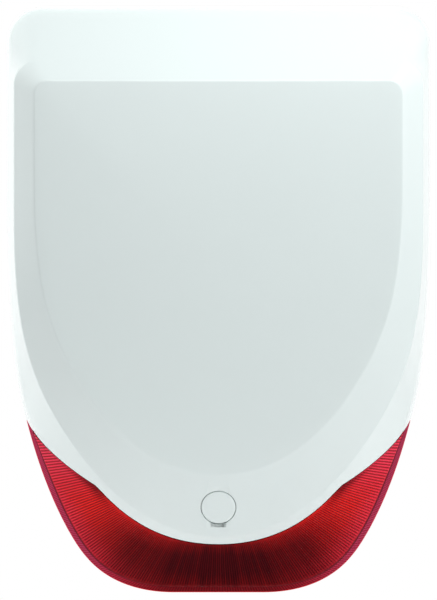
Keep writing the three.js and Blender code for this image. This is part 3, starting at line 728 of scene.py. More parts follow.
def reach_to_edge(starts, directions, edge):
    """How far each rib runs from the rim before it meets the cover's edge."""
    a, along = edge[:-1], np.diff(edge, axis=0)
    reaches = []
    for start, way in zip(starts, directions):
        cross = way[0] * along[:, 1] - way[1] * along[:, 0]
        offset = a - start
        share = (way[0] * offset[:, 1] - way[1] * offset[:, 0]) / -cross
        far = (offset[:, 0] * along[:, 1] - offset[:, 1] * along[:, 0]) / cross
        hits = far[(share >= 0) & (share <= 1) & (far > -0.5)]
        reaches.append(hits.min() if len(hits) else 0)
    return np.array(reaches)


def below_edge(path, edge):
    """The stretch of a path that lies below the cover's edge, at the shares of its length."""
    stretch = path[path[:, 1] < np.interp(path[:, 0], edge[::-1, 0], edge[::-1, 1])]
    lengths = lengths_along(stretch)
    wanted = SHARES * lengths[-1]
    return np.column_stack([np.interp(wanted, lengths, column) for column in stretch.T])


def surface(rings):
    return BVHTree.FromPolygons(np.vstack(rings).tolist(), strip_faces(len(rings), len(OUTER)))


def on_surface(tree, flat):
    """Points and outward normals of a surface at front-view points."""
    places, normals = [], []
    for x, z in flat:
        hit, normal, _, _ = tree.ray_cast(Vector((x + 0.004, -200, z)), Vector((0, 1, 0)))
        if hit is None:
            hit, normal, _, _ = tree.find_nearest(Vector((x, -SHOULDER_DEPTH, z)))
        places.append(hit)
        normals.append(-normal if normal.y > 0 else normal)
    return np.array(places), np.array(normals)


def side_wall_normals(rim):
    outward = moved(rim, -1, loop=False) - rim
    normals = np.column_stack([outward[:, 0], np.full(len(rim), -0.12), outward[:, 1]])
    return normals / np.linalg.norm(normals, axis=1)[:, None]


def lens_rows():
    """Rows of the lens's right half: under the cover, down its face to the rim, and down its side wall.

    A row is its points, their normals, the lens's wall, the height of the ribs from 0 to 1, the share of
    the way from the cover's edge to the rim, and the share of the way down the side wall.
    """
    edge = mirrored(resampled(cover_edge_half(), 400))[:420]
    right = slice(0, HALF_STEPS + 1)
    rim, foot = below_edge(SHOULDER[right], edge), below_edge(OUTER[right], edge)
    ways = rib_directions()
    reach = reach_to_edge(rim, ways, edge)
    outside = surface(housing_rings(0, LENS_RECESS, shoulder_reach=0.8))
    under = surface(housing_rings(WALL + GAP))
    rows = []
    for over in (4.6, 3.0, 1.4, 0.2):
        flat = rim + ways * (reach + over)[:, None]
        rows.append((*on_surface(under, flat), LENS_FLANGE_WALL, 0, 0, 0))
    for share in (0, 0.008, 0.03, 0.08, *np.linspace(0.15, 0.94, 15), 0.975, 1.0):
        flat = rim + ways * ((reach - 0.4) * (1 - share))[:, None]
        ribbed = min(1.0, 12 * share + 0.02) * min(1.0, 14 * (1 - share) + 0.15)
        rows.append((*on_surface(outside, flat), LENS_WALL, ribbed, share, 0))
    start, end = ring(rim, SHOULDER_DEPTH), ring(foot, BACK_GAP)
    normals = side_wall_normals(rim)
    for share in (0.04, 0.1, 0.25, 0.4, 0.55, 0.7, 0.85, 0.94, 1.0):
        ribbed = 0.8 * min(1.0, 6 * share) * min(1.0, 8 * (1 - share))
        rows.append((start + (end - start) * share, normals, LENS_WALL, ribbed, 1, share))
    return rows


def both_sides(grid, flip=1):
    """A grid of the right half with its mirror image added."""
    return np.concatenate([grid, grid[:, -2::-1] * flip], axis=1)


def lens_piece(rows):
    """The ribbed outside and the plain inside of the lens, closed all round."""
    outside = [points - normals * (RIB_DEPTH * ribbed * RIB_WAVE)[:, None]
               for points, normals, _, ribbed, _, _ in rows]
    inside = [points - normals * wall for points, normals, wall, _, _, _ in rows]
    outside, inside = (both_sides(np.array(grid), np.array([-1, 1, 1])) for grid in (outside, inside))
    height, width = outside.shape[:2]
    half = height * width
    faces = strip_faces(height, width, loop=False) + strip_faces(height, width, half, loop=False)
    for k in (0, height - 1):
        first = k * width
        starts = range(first, first + width - 1)
        faces += [(a, a + 1, half + a + 1, half + a) for a in starts]
    for i in (0, width - 1):
        starts = [k * width + i for k in range(height - 1)]
        faces += [(a, a + width, half + a + width, half + a) for a in starts]
    points = np.vstack([outside.reshape(-1, 3), inside.reshape(-1, 3)])
    return piece_from("lens_moulding", points, faces, 50)


def lens_shades(rows):
    """What the lens's material reads: rib valleys, painted shade of the dark inside and of the cover's
    shadow, pale tips and side wall of painted reflection, and gloss.
    """
    ribbed, down, on_wall = (np.repeat([[row[k]] for row in rows], len(SHARES), axis=1) for k in (3, 4, 5))
    across = np.tile(SHARES, (len(rows), 1))
    low = smoothstep(across, 0.45, 0.85)
    face, foot = 1 - smoothstep(on_wall, 0, 0.1), smoothstep(on_wall, 0.85, 0.99)
    # Here depth holds the painted shade, not a distance: dark where the dark inside shows through and in the
    # cover's shadow, a little uneven from rib to rib.
    each_rib = np.random.default_rng(5).uniform(-0.05, 0.05, RIBS_A_SIDE + 2)
    uneven = np.interp(RIB_PHASE, np.arange(RIBS_A_SIDE + 2), each_rib) * smoothstep(across, 0.1, 0.4)
    depth = np.clip(lens_painted_shade(across, down) + uneven, 0, 0.97)
    # A pale painted reflection in a band by the rim, away from the low middle.
    by_rim = 0.55 * smoothstep(down, 0.5, 1.0) * (1 - low)
    return {
        # Rib height, which the material turns into painted shade in the valleys.
        "rib": RIB_WAVE * ribbed,
        # On the side wall, painted shade low in the middle, lighter at the foot.
        "painted_shade": np.where(on_wall > 0.1, 0.8 * low * (1 - foot), depth),
        "tip": np.maximum(1 - smoothstep(across, 0.05, 0.34), by_rim) * face,
        # Painted reflection on the side wall, fainter towards the middle and the foot.
        "side_wall_reflection": (1 - face) * (1 - 0.75 * low) * (1 - 0.6 * foot),
        "gloss": (1 - 0.65 * depth) * (1 - 0.9 * (1 - face)),
    }


def flash_lens():
    rows = lens_rows()
    lens = lens_piece(rows)
    for label, grid in lens_shades(rows).items():
        values = both_sides(grid).ravel()
        values = np.r_[values, np.zeros(len(values))].astype(np.float32)
        lens.data.attributes.new(label, "FLOAT", "POINT").data.foreach_set("value", values)
    finished(lens, "lens", "cover", "lens", "flash_lens")


def lens_painted_shade(across, down):
    """Painted shade: 0 where the lens is painted bright and 1 where it is painted darkest, by share of the
    rim and share along a rib.
    """
    # Painted shade of the dark inside seen through the lower middle, paler by the cover and a little paler
    # by the rim.
    middle = 0.84 * smoothstep(across, 0.28, 0.62) + 0.15 * smoothstep(across, 0.55, 1.0)
    by_cover, by_rim = 1 - smoothstep(down, 0.0, 0.35), smoothstep(down, 0.6, 1.0)
    paler_by_cover = 0.12 + 0.22 * (1 - smoothstep(across, 0.6, 0.95))
    middle = middle * (1 - by_cover * paler_by_cover) * (1 - 0.1 * by_rim)
    # A painted glow near the rim, taken off the shade.
    glow = 0.16 * np.exp(-((across - 0.53) / 0.08) ** 2 - ((down - 0.92) / 0.22) ** 2)
    # A painted shadow along the cover's edge near the bend of the lens.
    shadow_under_cover = 0.8 * (1 - smoothstep(down, 0.0, 0.3)) * np.exp(-((across - 0.25) / 0.1) ** 2)
    shoulder_line = 0.85 * smoothstep(down, 0.965, 1.0)
    return np.clip(np.maximum(middle + shadow_under_cover - glow, shoulder_line), 0, 0.97)


# ---- Screw cap ----
def screw_cap():
    edge = CAP_RADIUS
    disc = [(0, -1.8), (edge, -1.8), (edge, -0.35), (edge - 0.1, -0.1), (edge - 0.35, 0.02),
            (edge - 2, 0.06), (edge / 2, 0.09), (0, 0.1)]
    cap = turned("cap", disc, None, 128, ON_BEVEL)
    skirt = turned("skirt", [(5.7, -6.5), (5.7, -1.6), (4.5, -1.6), (4.5, -6.5)], None, 96, ON_BEVEL)
    bead = turned("bead", [(5.6, -6.1), (6.0, -5.7), (5.6, -5.2), (5.2, -5.6)], None, 96, ON_BEVEL)
    skirt = unite(skirt, bead)
    for turn in (45, 135):
        turned_place = ON_BEVEL @ Matrix.Rotation(math.radians(turn), 4, "Z")
        skirt = cut(skirt, block("gate", (-1, -7, -7), (1, 7, -3.4), 0, turned_place))
    cap = unite(cap, skirt)
    cap.name = "cap_moulding"
    finished(cap, "cover", "screw_cap", "cover", "screw_cap")


# ---- Small shapes shared by the inner pieces ----
def rod(x, z, radius, near_wall, far_from_wall, segments=48):
    return turned("rod", rod_profile(radius, near_wall, far_from_wall), (x, z), segments)


def soft_rod(x, z, radius, start, end, edge=0.3, segments=48):
    """A rod with its outer end eased."""
    profile = [(0, start), (radius, start), (radius, end - edge), (radius - edge * 0.3, end - edge * 0.3),
               (radius - edge, end), (0, end)]
    return turned("rod", profile, (x, z), segments)


def rounded_outline(left, right, bottom, top, radius):
    corners = ((right - radius, top - radius, 90), (right - radius, bottom + radius, 0),
               (left + radius, bottom + radius, -90), (left + radius, top - radius, -180))
    return np.vstack([arc((x, z), radius, start, start - 90, 12) for x, z, start in corners])


def depths(node):
    """Depth of a CAD node's wall side and of its front."""
    low, high = box_mm(node)
    return -high[1], -low[1]


def front_place(node):
    """Front-view position (x, z) of a CAD node's centre."""
    x, _, z = centre_mm(node)
    return x, z


def turned_about_y(degrees, place):
    return Matrix.Translation(place) @ Matrix.Rotation(math.radians(degrees), 4, "Y")


def pointing_x(x, y, z):
    """Matrix that lays a turned piece along +X."""
    return turned_about_y(90, (x, y, z))


def threaded(radius, start, end, pitch, height):
    """Profile of a thread drawn as fine ridges."""
    turns = int((end - start) / pitch)
    points = []
    for i in range(turns):
        points += [(radius - height, start + i * pitch), (radius, start + (i + 0.5) * pitch)]
    return points + [(radius - height, start + turns * pitch)]


def cross_recess(x, z, arm, width, bottom, top):
    return [front_block("recess", x - arm, x + arm, bottom, top, z - width, z + width),
            front_block("recess", x - width, x + width, bottom, top, z - arm, z + arm)]


def pan_screw(node):
    """Small self-tapping screw with a domed head and a cross recess."""
    tip, face = depths(node)
    x, z = front_place(node)
    seat = face - 1.9
    profile = [(0, tip), (0.4, tip), (0.95, tip + 0.9), *threaded(1.25, tip + 1, seat - 0.2, 0.55, 0.22),
               (1.05, seat), (2.5, seat), (2.7, seat + 0.2), (2.7, seat + 0.85), (2.5, seat + 1.3),
               (2.05, seat + 1.62), (1.3, face - 0.06), (0, face)]
    screw = cut(turned("screw", profile, (x, z), 48), *cross_recess(x, z, 1.5, 0.3, face - 1.15, face + 1))
    screw.name = node + "_pan_head"
    return finished(screw, "steel", "base", "zinc_steel", node)


STEP_ALONG_WIRE = 0.5
WIRE_LAY = 9


def wires(name, radius, *route):
    """A twisted pair of leads along a smooth route of (x, y, z) points."""
    route = np.array(route, float)
    ends = np.vstack([2 * route[0] - route[1], route, 2 * route[-1] - route[-2]])
    shares = np.linspace(0, 1, 24)[:-1]
    line = [catmull_rom(ends[i:i + 4], share) for i in range(len(route) - 1) for share in shares]
    line = np.array(line + [route[-1]])
    lengths = lengths_along(line)
    along = np.linspace(0, lengths[-1], int(lengths[-1] / STEP_ALONG_WIRE))
    line = np.column_stack([np.interp(along, lengths, column) for column in line.T])
    across, over = frames_along(line)
    for material, slot, turn in (("red", "wire_red", 0), ("black", "black_plastic", math.pi)):
        angle = along / WIRE_LAY * 2 * math.pi + turn
        middle = line + radius * 0.47 * (across * np.cos(angle)[:, None] + over * np.sin(angle)[:, None])
        piece = tube(f"{name}_{material}", middle, across, over, radius * 0.5)
        finished(piece, material, "base", slot, name)


def catmull_rom(points, share):
    a, b, c, d = points
    return 0.5 * (2 * b + (c - a) * share + (2 * a - 5 * b + 4 * c - d) * share ** 2
                  + (3 * b - a - 3 * c + d) * share ** 3)


def frames_along(line):
    """Two directions square to a line at each of its points, carried along it without twist."""
    tangents = np.gradient(line, axis=0)
    tangents /= np.linalg.norm(tangents, axis=1)[:, None]
    across = [np.cross(tangents[0], (0.31, 0.9, 0.2))]
    for tangent in tangents:
        kept = across[-1] - tangent * np.dot(across[-1], tangent)
        across.append(kept / np.linalg.norm(kept))
    across = np.array(across[1:])
    return across, np.cross(tangents, across)


def tube(name, line, across, over, radius):
    turns = np.linspace(0, 2 * math.pi, WIRE_SIDES, endpoint=False)
    rings = [middle + radius * (np.outer(np.cos(turns), a) + np.outer(np.sin(turns), b))
             for middle, a, b in zip(line, across, over)]
    faces = strip_faces(len(rings), WIRE_SIDES)
    last = (len(rings) - 1) * WIRE_SIDES
    faces += [tuple(range(WIRE_SIDES)), tuple(range(last, last + WIRE_SIDES))]
    return piece_from(name, np.vstack(rings), faces)


# ---- Back plate and what is fixed in it ----
PLATE_THICKNESS = 3
PLATE_RIM = 1.8
PLATE_OUTLINE = moved(closed(outer_half(138)), 8)
BOARD_SCREWS = [f"board_screw_{i}" for i in (1, 2, 3, 4)]
SOUNDER_SCREWS = [f"sounder_screw_{i}" for i in (1, 2, 3)]
TRAY_SCREWS = ["reflector_screw_1", "reflector_screw_2"]
SMALL_SCREWS = BOARD_SCREWS + SOUNDER_SCREWS + TRAY_SCREWS + ["strobe_screw"]


def keyhole(x, z):
    """Round entry for a wall screw's head with a slot above it for its neck."""
    slot = front_block("keyhole", x - 2.6, x + 2.6, -1, 9, z, z + 8)
    return unite(rod(x, z, 4.8, -1, 9, 64), slot, rod(x, z + 8, 2.6, -1, 9, 64))


def standoff(node, front):
    foot = PLATE_THICKNESS - 0.5
    profile = [(0, foot), (4.2, foot), (4.2, foot + 0.5), (3.75, foot + 0.75), (3.55, foot + 1.6),
               (3.5, front - 0.2), (3.3, front), (0, front)]
    return turned("standoff", profile, front_place(node), 48)


def hinge_ears(x):
    outline = [(-1.5, 114), (-1.5, 127), (-6.9, 136), (-8, 140), (-10, 140.8), (-12, 140),
               (-13.3, 137.5), (-14, 126), (-14, 119), (-8, 114)]
    return [side_prism("ear", outline, x + near, x + near + 3) for near in (3.1, -6.1)]


def pillar():
    """Post that takes the cover screw's insert, with a web on each side."""
    profile = [(0, 2), (7.4, 2), (7.4, 3.2), (6.4, 3.9), (6.1, 5.5), (6, 28.6), (5.6, 29), (0, 29)]
    webs = [front_block("web", left, left + 9, 2, 16, SCREW_Z - 1, SCREW_Z + 1, 0.2) for left in (-14, 5)]
    return [turned("pillar", profile, (0, SCREW_Z)), *webs]


def back_plate():
    rim = cut(prism("rim", PLATE_OUTLINE, 1, 14), prism("hollow", moved(PLATE_OUTLINE, PLATE_RIM), 0, 16))
    slots = [front_block("slot", x - 2.5, x + 2.5, 4.5, 11.5, BOTTOM, -120) for x in np.arange(-31.5, 32, 9)]
    plate = unite(prism("plate", PLATE_OUTLINE, 0, PLATE_THICKNESS), cut(rim, *slots))
    board_back = depths("main_board")[0] - GAP
    raised = [standoff(node, board_back) for node in BOARD_SCREWS + ["strobe_screw"]]
    raised += [standoff(node, 8) for node in SOUNDER_SCREWS] + [standoff(node, 12) for node in TRAY_SCREWS]
    plate = unite(plate, *pillar(), *raised, *hinge_ears(-HINGE_X), *hinge_ears(HINGE_X))
    plate = cut(
        plate,
        *[rod(*front_place(node), 1.6, 3.5, 20, 32) for node in SMALL_SCREWS],
        hinge_rod(1.7, 110),
        rod(0, SCREW_Z, 4.4, 22.8, 40, 64),
        rod(0, SCREW_Z, 3.4, 6, 40, 64),
        rod(*front_place("cable_grommet"), 8, -1, 5, 96),
        rod(*front_place("wall_plunger"), 3.4, -1, 5, 64),
        *[keyhole(x, z) for x, z in ((-82, 100), (82, 100), (-46, -84), (46, -84))],
    )
    plate.name = "plate_moulding"
    finished(plate, "plate", "base", "plate", "back_plate")


def grommet():
    profile = [(4.2, 0.1), (7.3, 0.1), (7.6, 0.4), (7.6, 3.3), (9.9, 3.3), (10.4, 3.7), (10.5, 4.6),
               (10.1, 5.2), (7.8, 6.1), (6.4, 7.4), (5.5, 8.7), (5.0, 9), (4.5, 9), (4.2, 8.7)]
    bush = turned("grommet_bush", profile, front_place("cable_grommet"))
    finished(bush, "rubber", "base", "rubber", "cable_grommet")


def hinge_pins():
    for side, x in (("left", -HINGE_X), ("right", HINGE_X)):
        profile = [(0, 0), (1.1, 0), (1.5, 0.5), (1.5, 15.5), (1.1, 16), (0, 16)]
        pin = turned(f"hinge_pin_{side}_turned", profile, None, 48, pointing_x(x - 8, *HINGE))
        finished(pin, "steel", "base", "zinc_steel", f"hinge_pin_{side}")


# ---- Cover screw, and the parts that hold it ----
def screw():
    tip, face = depths("cover_screw")
    head = face - 2.7
    thread = threaded(2, tip + 1.1, tip + 8.2, 0.7, 0.36)
    profile = [(0, tip), (1.2, tip), (1.9, tip + 1), *thread, (1.64, head - 0.6), (2, head), (3.7, head),
               (3.9, head + 0.2), (3.9, head + 1.1), (3.65, head + 1.7), (3, head + 2.25),
               (1.8, face - 0.06), (0, face)]
    recess = cross_recess(0, SCREW_Z, 2.2, 0.42, face - 1.7, face + 1)
    piece = cut(turned("screw", profile, (0, SCREW_Z), 64), *recess)
    piece.name = "cover_screw_pan_head"
    finished(piece, "steel", "cover_screw", "zinc_steel", "cover_screw")


def screw_seal():
    near, far = depths("screw_seal")
    profile = [(2.35, near + 0.2), (2.55, near), (3.7, near), (3.9, near + 0.2), (3.9, far - 0.2),
               (3.7, far), (2.55, far), (2.35, far - 0.2)]
    seal = turned("seal_ring", profile, (0, SCREW_Z), 64)
    finished(seal, "rubber", "cover_screw", "rubber", "screw_seal")


def screw_clip():
    near, far = depths("screw_clip")
    clip = turned("clip", [(2.3, near), (3.7, near), (3.7, far), (2.3, far)], (0, SCREW_Z), 64)
    clip = cut(clip, front_block("mouth", -1.3, 1.3, near - 1, far + 1, SCREW_Z - 5, SCREW_Z))
    clip.name = "clip_ring"
    finished(clip, "steel", "screw_clip", "zinc_steel", "screw_clip")


def screw_insert():
    near, far = depths("screw_insert")
    inner, outer, groove = 2.5, 3.15, 2.9
    profile = [
        (inner, near + 0.2), (2.7, near), (3.0, near), (outer, near + 0.2), (outer, near + 2.2),
        (groove, near + 2.4), (groove, near + 3), (outer, near + 3.2),
        (outer, far - 3.2), (groove, far - 3), (groove, far - 2.4),
        (outer, far - 2.2), (outer, far - 0.2), (3.0, far), (2.7, far), (inner, far - 0.2),
    ]
    insert = turned("insert_turned", profile, (0, SCREW_Z), 64)
    finished(insert, "brass", "base", "brass", "screw_insert")


# ---- Circuit board ----
BOARD_LOW, BOARD_HIGH = box_mm("main_board")
BOARD_FRONT = -BOARD_LOW[1]
TRACK_HEIGHT = 0.07
SIGNAL_TRACK = 0.5
POWER_TRACK = 0.9


def ribbon(points, width):
    """A copper track under the solder mask, along front-view points."""
    points = np.array(points, float)
    right, left = (moved(points, distance, loop=False) for distance in (width / 2, -width / 2))
    return prism("track", np.vstack([right, left[::-1]]), BOARD_FRONT - 0.2, BOARD_FRONT + TRACK_HEIGHT)


def tracks():
    """Tracks from the terminals, sockets and coil to the controller, each with one bend."""
    routes = []
    for i in range(6):
        x = 7.5 + 6 * i
        bend = 24.8 + 1.6 * i
        routes.append([(x, -21.4), (x, -14 + 1.5 * i), (bend, -14 + 1.5 * i + abs(bend - x)), (bend, 8.9)])
    for i in range(4):
        start, end = 20 + 2 * i, 18.2 + 1.6 * i
        routes.append([(0.4, start), (12, start), (14 - 0.2 * i, end), (23.4, end)])
    for i in range(3):
        start, end = 13 + 1.6 * i, 9 + 2.6 * i
        routes.append([(38.6, start), (46, start), (50 - i, end), (52.6, end)])
    routes += [[(x, -23.4), (x, -12), (x + 3, -9), (x + 3, -0.6)] for x in (52, 55, 58)]
    routes += [[(74 + 3 * i, 29.4), (74 + 3 * i, 20), (71.6, 17.6 - 3 * i + 3)] for i in (0, 1)]
    routes += [[(44, 32.6), (44, 29), (57, 29), (57, 32.6)], [(62, 43), (70, 43), (77, 38)]]
    return [ribbon(route, POWER_TRACK if i > 15 else SIGNAL_TRACK) for i, route in enumerate(routes)]


def chip_part(x, z, upright):
    """A chip resistor or capacitor: its dark body and its two tinned ends."""
    half = (0.65, 1.1) if upright else (1.1, 0.65)
    step = (0, 1.25) if upright else (1.25, 0)
    tip = (0.68, 0.32) if upright else (0.32, 0.68)
    top = BOARD_FRONT + 0.6
    body = front_block("chip", x - half[0], x + half[0], BOARD_FRONT, top, z - half[1], z + half[1], 0.06)
    ends = []
    for cx, cz in ((x - step[0], z - step[1]), (x + step[0], z + step[1])):
        ends.append(front_block("end", cx - tip[0], cx + tip[0], BOARD_FRONT, top + 0.04,
                                cz - tip[1], cz + tip[1], 0.08))
    return body, ends


def small_parts():
    """Chip resistors and capacitors, in rows by the parts that they serve."""
    level = [(14 + 4.5 * i, 31) for i in range(5)] + [(43 + 4.5 * i, -4) for i in range(2)]
    level += [(44, 20), (44, 24)]
    upright = [(18.5, 12 + 4 * i) for i in range(4)] + [(76, -6 - 5 * i) for i in range(4)]
    upright += [(4 + 5 * i, -8) for i in range(4)] + [(30 + 4 * i, 41) for i in range(3)]
    parts = [chip_part(*place, False) for place in level] + [chip_part(*place, True) for place in upright]
    return [body for body, _ in parts], [end for _, ends in parts for end in ends]


def pads():
    """Tinned joints round the terminals, sockets and capacitors, and test points."""
    places = [(7.5 + 6 * i, -20.6) for i in range(6)] + [(52 + 3 * i, -22.8) for i in range(3)]
    places += [(0.9, 20 + 2 * i) for i in range(4)] + [(74, 29), (77, 29), (80, 29)]
    places += [(-5 + 6 * i, 42) for i in range(4)] + [(66 + 5 * i, -28) for i in range(3)]
    heights = [(0, -0.1), (0.9, -0.1), (0.9, 0.05), (0.5, 0.22), (0.25, 0.5), (0, 0.55)]
    profile = [(radius, BOARD_FRONT + height) for radius, height in heights]
    return [turned("pad", profile, place, 20) for place in places]


def main_board():
    outline = rounded_outline(BOARD_LOW[0], BOARD_HIGH[0], BOARD_LOW[2], BOARD_HIGH[2], 2)
    board = prism("board", outline, -BOARD_HIGH[1], BOARD_FRONT)
    board = cut(board, *[rod(*front_place(node), 1.7, 8, 18) for node in BOARD_SCREWS])
    board.name = "board_sheet"
    finished(board, "board", "base", "board", "main_board")
    finished(gathered("board_tracks", *tracks()), "track", "base", "board", "main_board")
    back, front = BOARD_FRONT - 0.2, BOARD_FRONT + 0.08
    land = [(1.75, back), (3.1, back), (3.1, front), (1.75, front)]
    lands = [turned("land", land, front_place(node), 48) for node in BOARD_SCREWS]
    bodies, ends = small_parts()
    finished(gathered("board_chip_parts", *bodies), "black", "base", "black_plastic", "main_board")
    finished(gathered("board_solder", *lands, *ends, *pads()), "steel", "base", "zinc_steel", "main_board")


def chip_leg(x, z, half, step, side, rise):
    """The pieces of one leg on the right or left of a chip, and of one above or below it."""
    edge, knee, toe = side * (half - 1.4), side * (half - 0.7), side * half
    inner_knee = knee - side * 0.16
    foot = BOARD_FRONT
    spans = ((edge, knee, rise - 0.1, rise + 0.06), (inner_knee, knee, foot, rise + 0.06),
             (inner_knee, toe, foot, foot + 0.16))
    pieces = []
    for a, b, near, far in spans:
        pieces.append(front_block("leg", x + a, x + b, near, far, z + step - 0.17, z + step + 0.17))
        pieces.append(front_block("leg", x + step - 0.17, x + step + 0.17, near, far, z + a, z + b))
    return pieces


def controller_chip():
    low, high = box_mm("controller_chip")
    (x, z), (base, top) = front_place("controller_chip"), depths("controller_chip")
    half = (high[0] - low[0]) / 2
    inside = half - 1.3
    body = front_block("body", x - inside, x + inside, base, top, z - inside, z + inside, 0.18)
    body = cut(body, rod(x - half + 2.7, z + half - 2.7, 0.6, top - 0.12, top + 1, 24))
    body.name = "chip_body"
    finished(body, "black", "base", "black_plastic", "controller_chip")
    legs = [piece for step in np.arange(-4.4, 4.5, 0.8) for side in (-1, 1)
            for piece in chip_leg(x, z, half, step, side, base + 0.75)]
    finished(gathered("chip_legs", *legs), "steel", "base", "zinc_steel", "controller_chip")


TERMINAL_SCREW_Z = -25.5


def terminal(x, top, degrees):
    """A terminal's slotted screw, turned by an angle, and the wire cage under it."""
    screw_top = soft_rod(x, TERMINAL_SCREW_Z, 1.75, BOARD_FRONT + 5.2, top, 0.25)
    slot_place = turned_about_y(degrees, (x, -top, TERMINAL_SCREW_Z))
    screw_top = cut(screw_top, block("slot", (-2, -1, -0.25), (2, 0.7, 0.25), 0, slot_place))
    cage = front_block("cage", x - 1.75, x + 1.75, BOARD_FRONT + 2.2, BOARD_FRONT + 6.2, -29.6, -24)
    hollow = front_block("hollow", x - 1.35, x + 1.35, BOARD_FRONT + 2.7, BOARD_FRONT + 5.6, -31, -25)
    return screw_top, cut(cage, hollow)


def terminal_block():
    low, high = box_mm("terminal_block")
    base, front = depths("terminal_block")
    ways = [7.5 + 6 * i for i in range(6)]
    body = front_block("body", low[0], high[0], base, front, low[2], high[2], 0.35)
    edge = Matrix.Translation((22.5, low[1] - 0.6, high[2] + 0.6)) @ Matrix.Rotation(math.pi / 4, 4, "X")
    tools = [block("chamfer", (-30, -2, -2), (30, 2, 2), 0, edge)]
    tools += [front_block("groove", x + 2.85, x + 3.15, front - 0.45, front + 1, low[2] - 1, high[2] + 1)
              for x in ways[:-1]]
    tools += [rod(x, TERMINAL_SCREW_Z, 1.95, BOARD_FRONT + 5, 40) for x in ways]
    tools += [front_block("door", x - 1.9, x + 1.9, BOARD_FRONT + 2, BOARD_FRONT + 6.5, -33, -28)
              for x in ways]
    body = cut(body, *tools)
    body.name = "terminal_body"
    finished(body, "green", "base", "green_plastic", "terminal_block")
    screws = [piece for i, x in enumerate(ways) for piece in terminal(x, front - 1.6, 17 + 31 * i)]
    finished(gathered("terminal_screws", *screws), "steel", "base", "zinc_steel", "terminal_block")


def capacitor(node):
    (x, z), (foot, top) = front_place(node), depths(node)
    profile = [
        (0, foot), (4.7, foot), (4.9, foot + 0.3), (4.9, foot + 1.7), (4.55, foot + 2.3), (4.5, foot + 2.5),
        (4.55, foot + 2.7), (4.9, foot + 3.3), (4.9, top - 0.7), (4.75, top - 0.25), (4.4, top - 0.03),
        (4.0, top), (4.0, top - 0.5), (0, top - 0.5),
    ]
    sleeve = turned(f"{node}_sleeve_skin", profile, (x, z), 72)
    finished(sleeve, "sleeve", "base", "capacitor_sleeve", node)
    can = soft_rod(x, z, 3.95, top - 0.6, top - 0.15, 0.1, 64)
    vents = [block("vent", (-3, -1, -0.12), (3, 0.12, 0.12), 0, turned_about_y(turn, (x, -top + 0.15, z)))
             for turn in (30, 120)]
    can = cut(can, *vents)
    can.name = f"{node}_can_top"
    finished(can, "steel", "base", "zinc_steel", node)
    outer, inner = arc((x, z), 4.93, 200, 250, 16), arc((x, z), 4.6, 250, 200, 16)
    stripe = prism(f"{node}_stripe", np.vstack([outer, inner]), foot + 3.5, top - 0.9)
    finished(stripe, "cream", "base", "capacitor_sleeve", node)


def transformer():
    low, high = box_mm("boost_transformer")
    (x, z), (base, top) = front_place("boost_transformer"), depths("boost_transformer")
    core = [front_block("core", low[0], high[0], back, back + 2.5, low[2], high[2], 0.35)
            for back in (base, top - 2.5)]
    core += [front_block("post", left, left + 1.8, BOARD_FRONT + 1, top - 1, 3, 13, 0.2)
             for left in (x - 9, x + 7.2)]
    finished(gathered("transformer_core", *core), "ferrite", "base", "black_plastic", "boost_transformer")
    start, end, pitch = base + 2.6, top - 2.6, 0.22
    count = int((end - start - 1.2) / pitch)
    turns = [(6.45 + 0.4 * (i % 2), start + 0.6 + i * pitch) for i in range(count)]
    coil = turned("transformer_winding", [(0, start + 0.5), *turns, (0, end - 0.5)], (x, z))
    finished(coil, "copper", "base", "brass", "boost_transformer")
    flanges = [soft_rod(x, z, 7.1, a, a + 0.6, 0.15, 72) for a in (start, end - 0.6)]
    bobbin = gathered("transformer_bobbin", *flanges)
    finished(bobbin, "black", "base", "black_plastic", "boost_transformer")


def plug_and_socket(node, windows):
    """A board socket with its plug in it: a shrouded base and a slimmer plug with a window for each lead."""
    low, high = box_mm(node)
    base, front = depths(node)

    def within(name, inset, near, far, bevel=0.0):
        left, right, bottom, top = low[0] + inset, high[0] - inset, low[2] + inset, high[2] - inset
        return front_block(name, left, right, near, far, bottom, top, bevel)
    shroud = cut(within("shroud", 0, base, base + 4.4, 0.25), within("rim", 0.45, base + 3.9, base + 6))
    piece = unite(shroud, within("plug", 0.7, base + 3, front, 0.2))
    piece = cut(piece, *[front_block("window", x - 0.5, x + 0.5, front - 1.6, front - 0.6, z - 0.5, z + 0.5)
                         for x, z in windows])
    piece.name = f"{node}_plugged"
    finished(piece, "cream", "base", "socket", node)


def sockets():
    """Battery and strobe sockets lie level, with windows at their top and bottom; the sounder's stands."""
    steps = (-2.5, 0, 2.5)
    x, z = front_place("battery_socket")
    top = box_mm("battery_socket")[1][2] - 0.7
    plug_and_socket("battery_socket", [(x + step, top) for step in steps])
    x, z = front_place("strobe_socket")
    bottom = box_mm("strobe_socket")[0][2] + 0.7
    plug_and_socket("strobe_socket", [(x + step, bottom) for step in steps])
    x, z = front_place("sounder_socket")
    left = box_mm("sounder_socket")[0][0] + 0.7
    plug_and_socket("sounder_socket", [(left, z + step) for step in steps])


# ---- Battery ----
CELL_RADIUS = 16.6
CELL_DEPTH = (depths("battery_cell_left")[0] + depths("battery_cell_left")[1]) / 2
CELL_Z = centre_mm("battery_cell_left")[2]


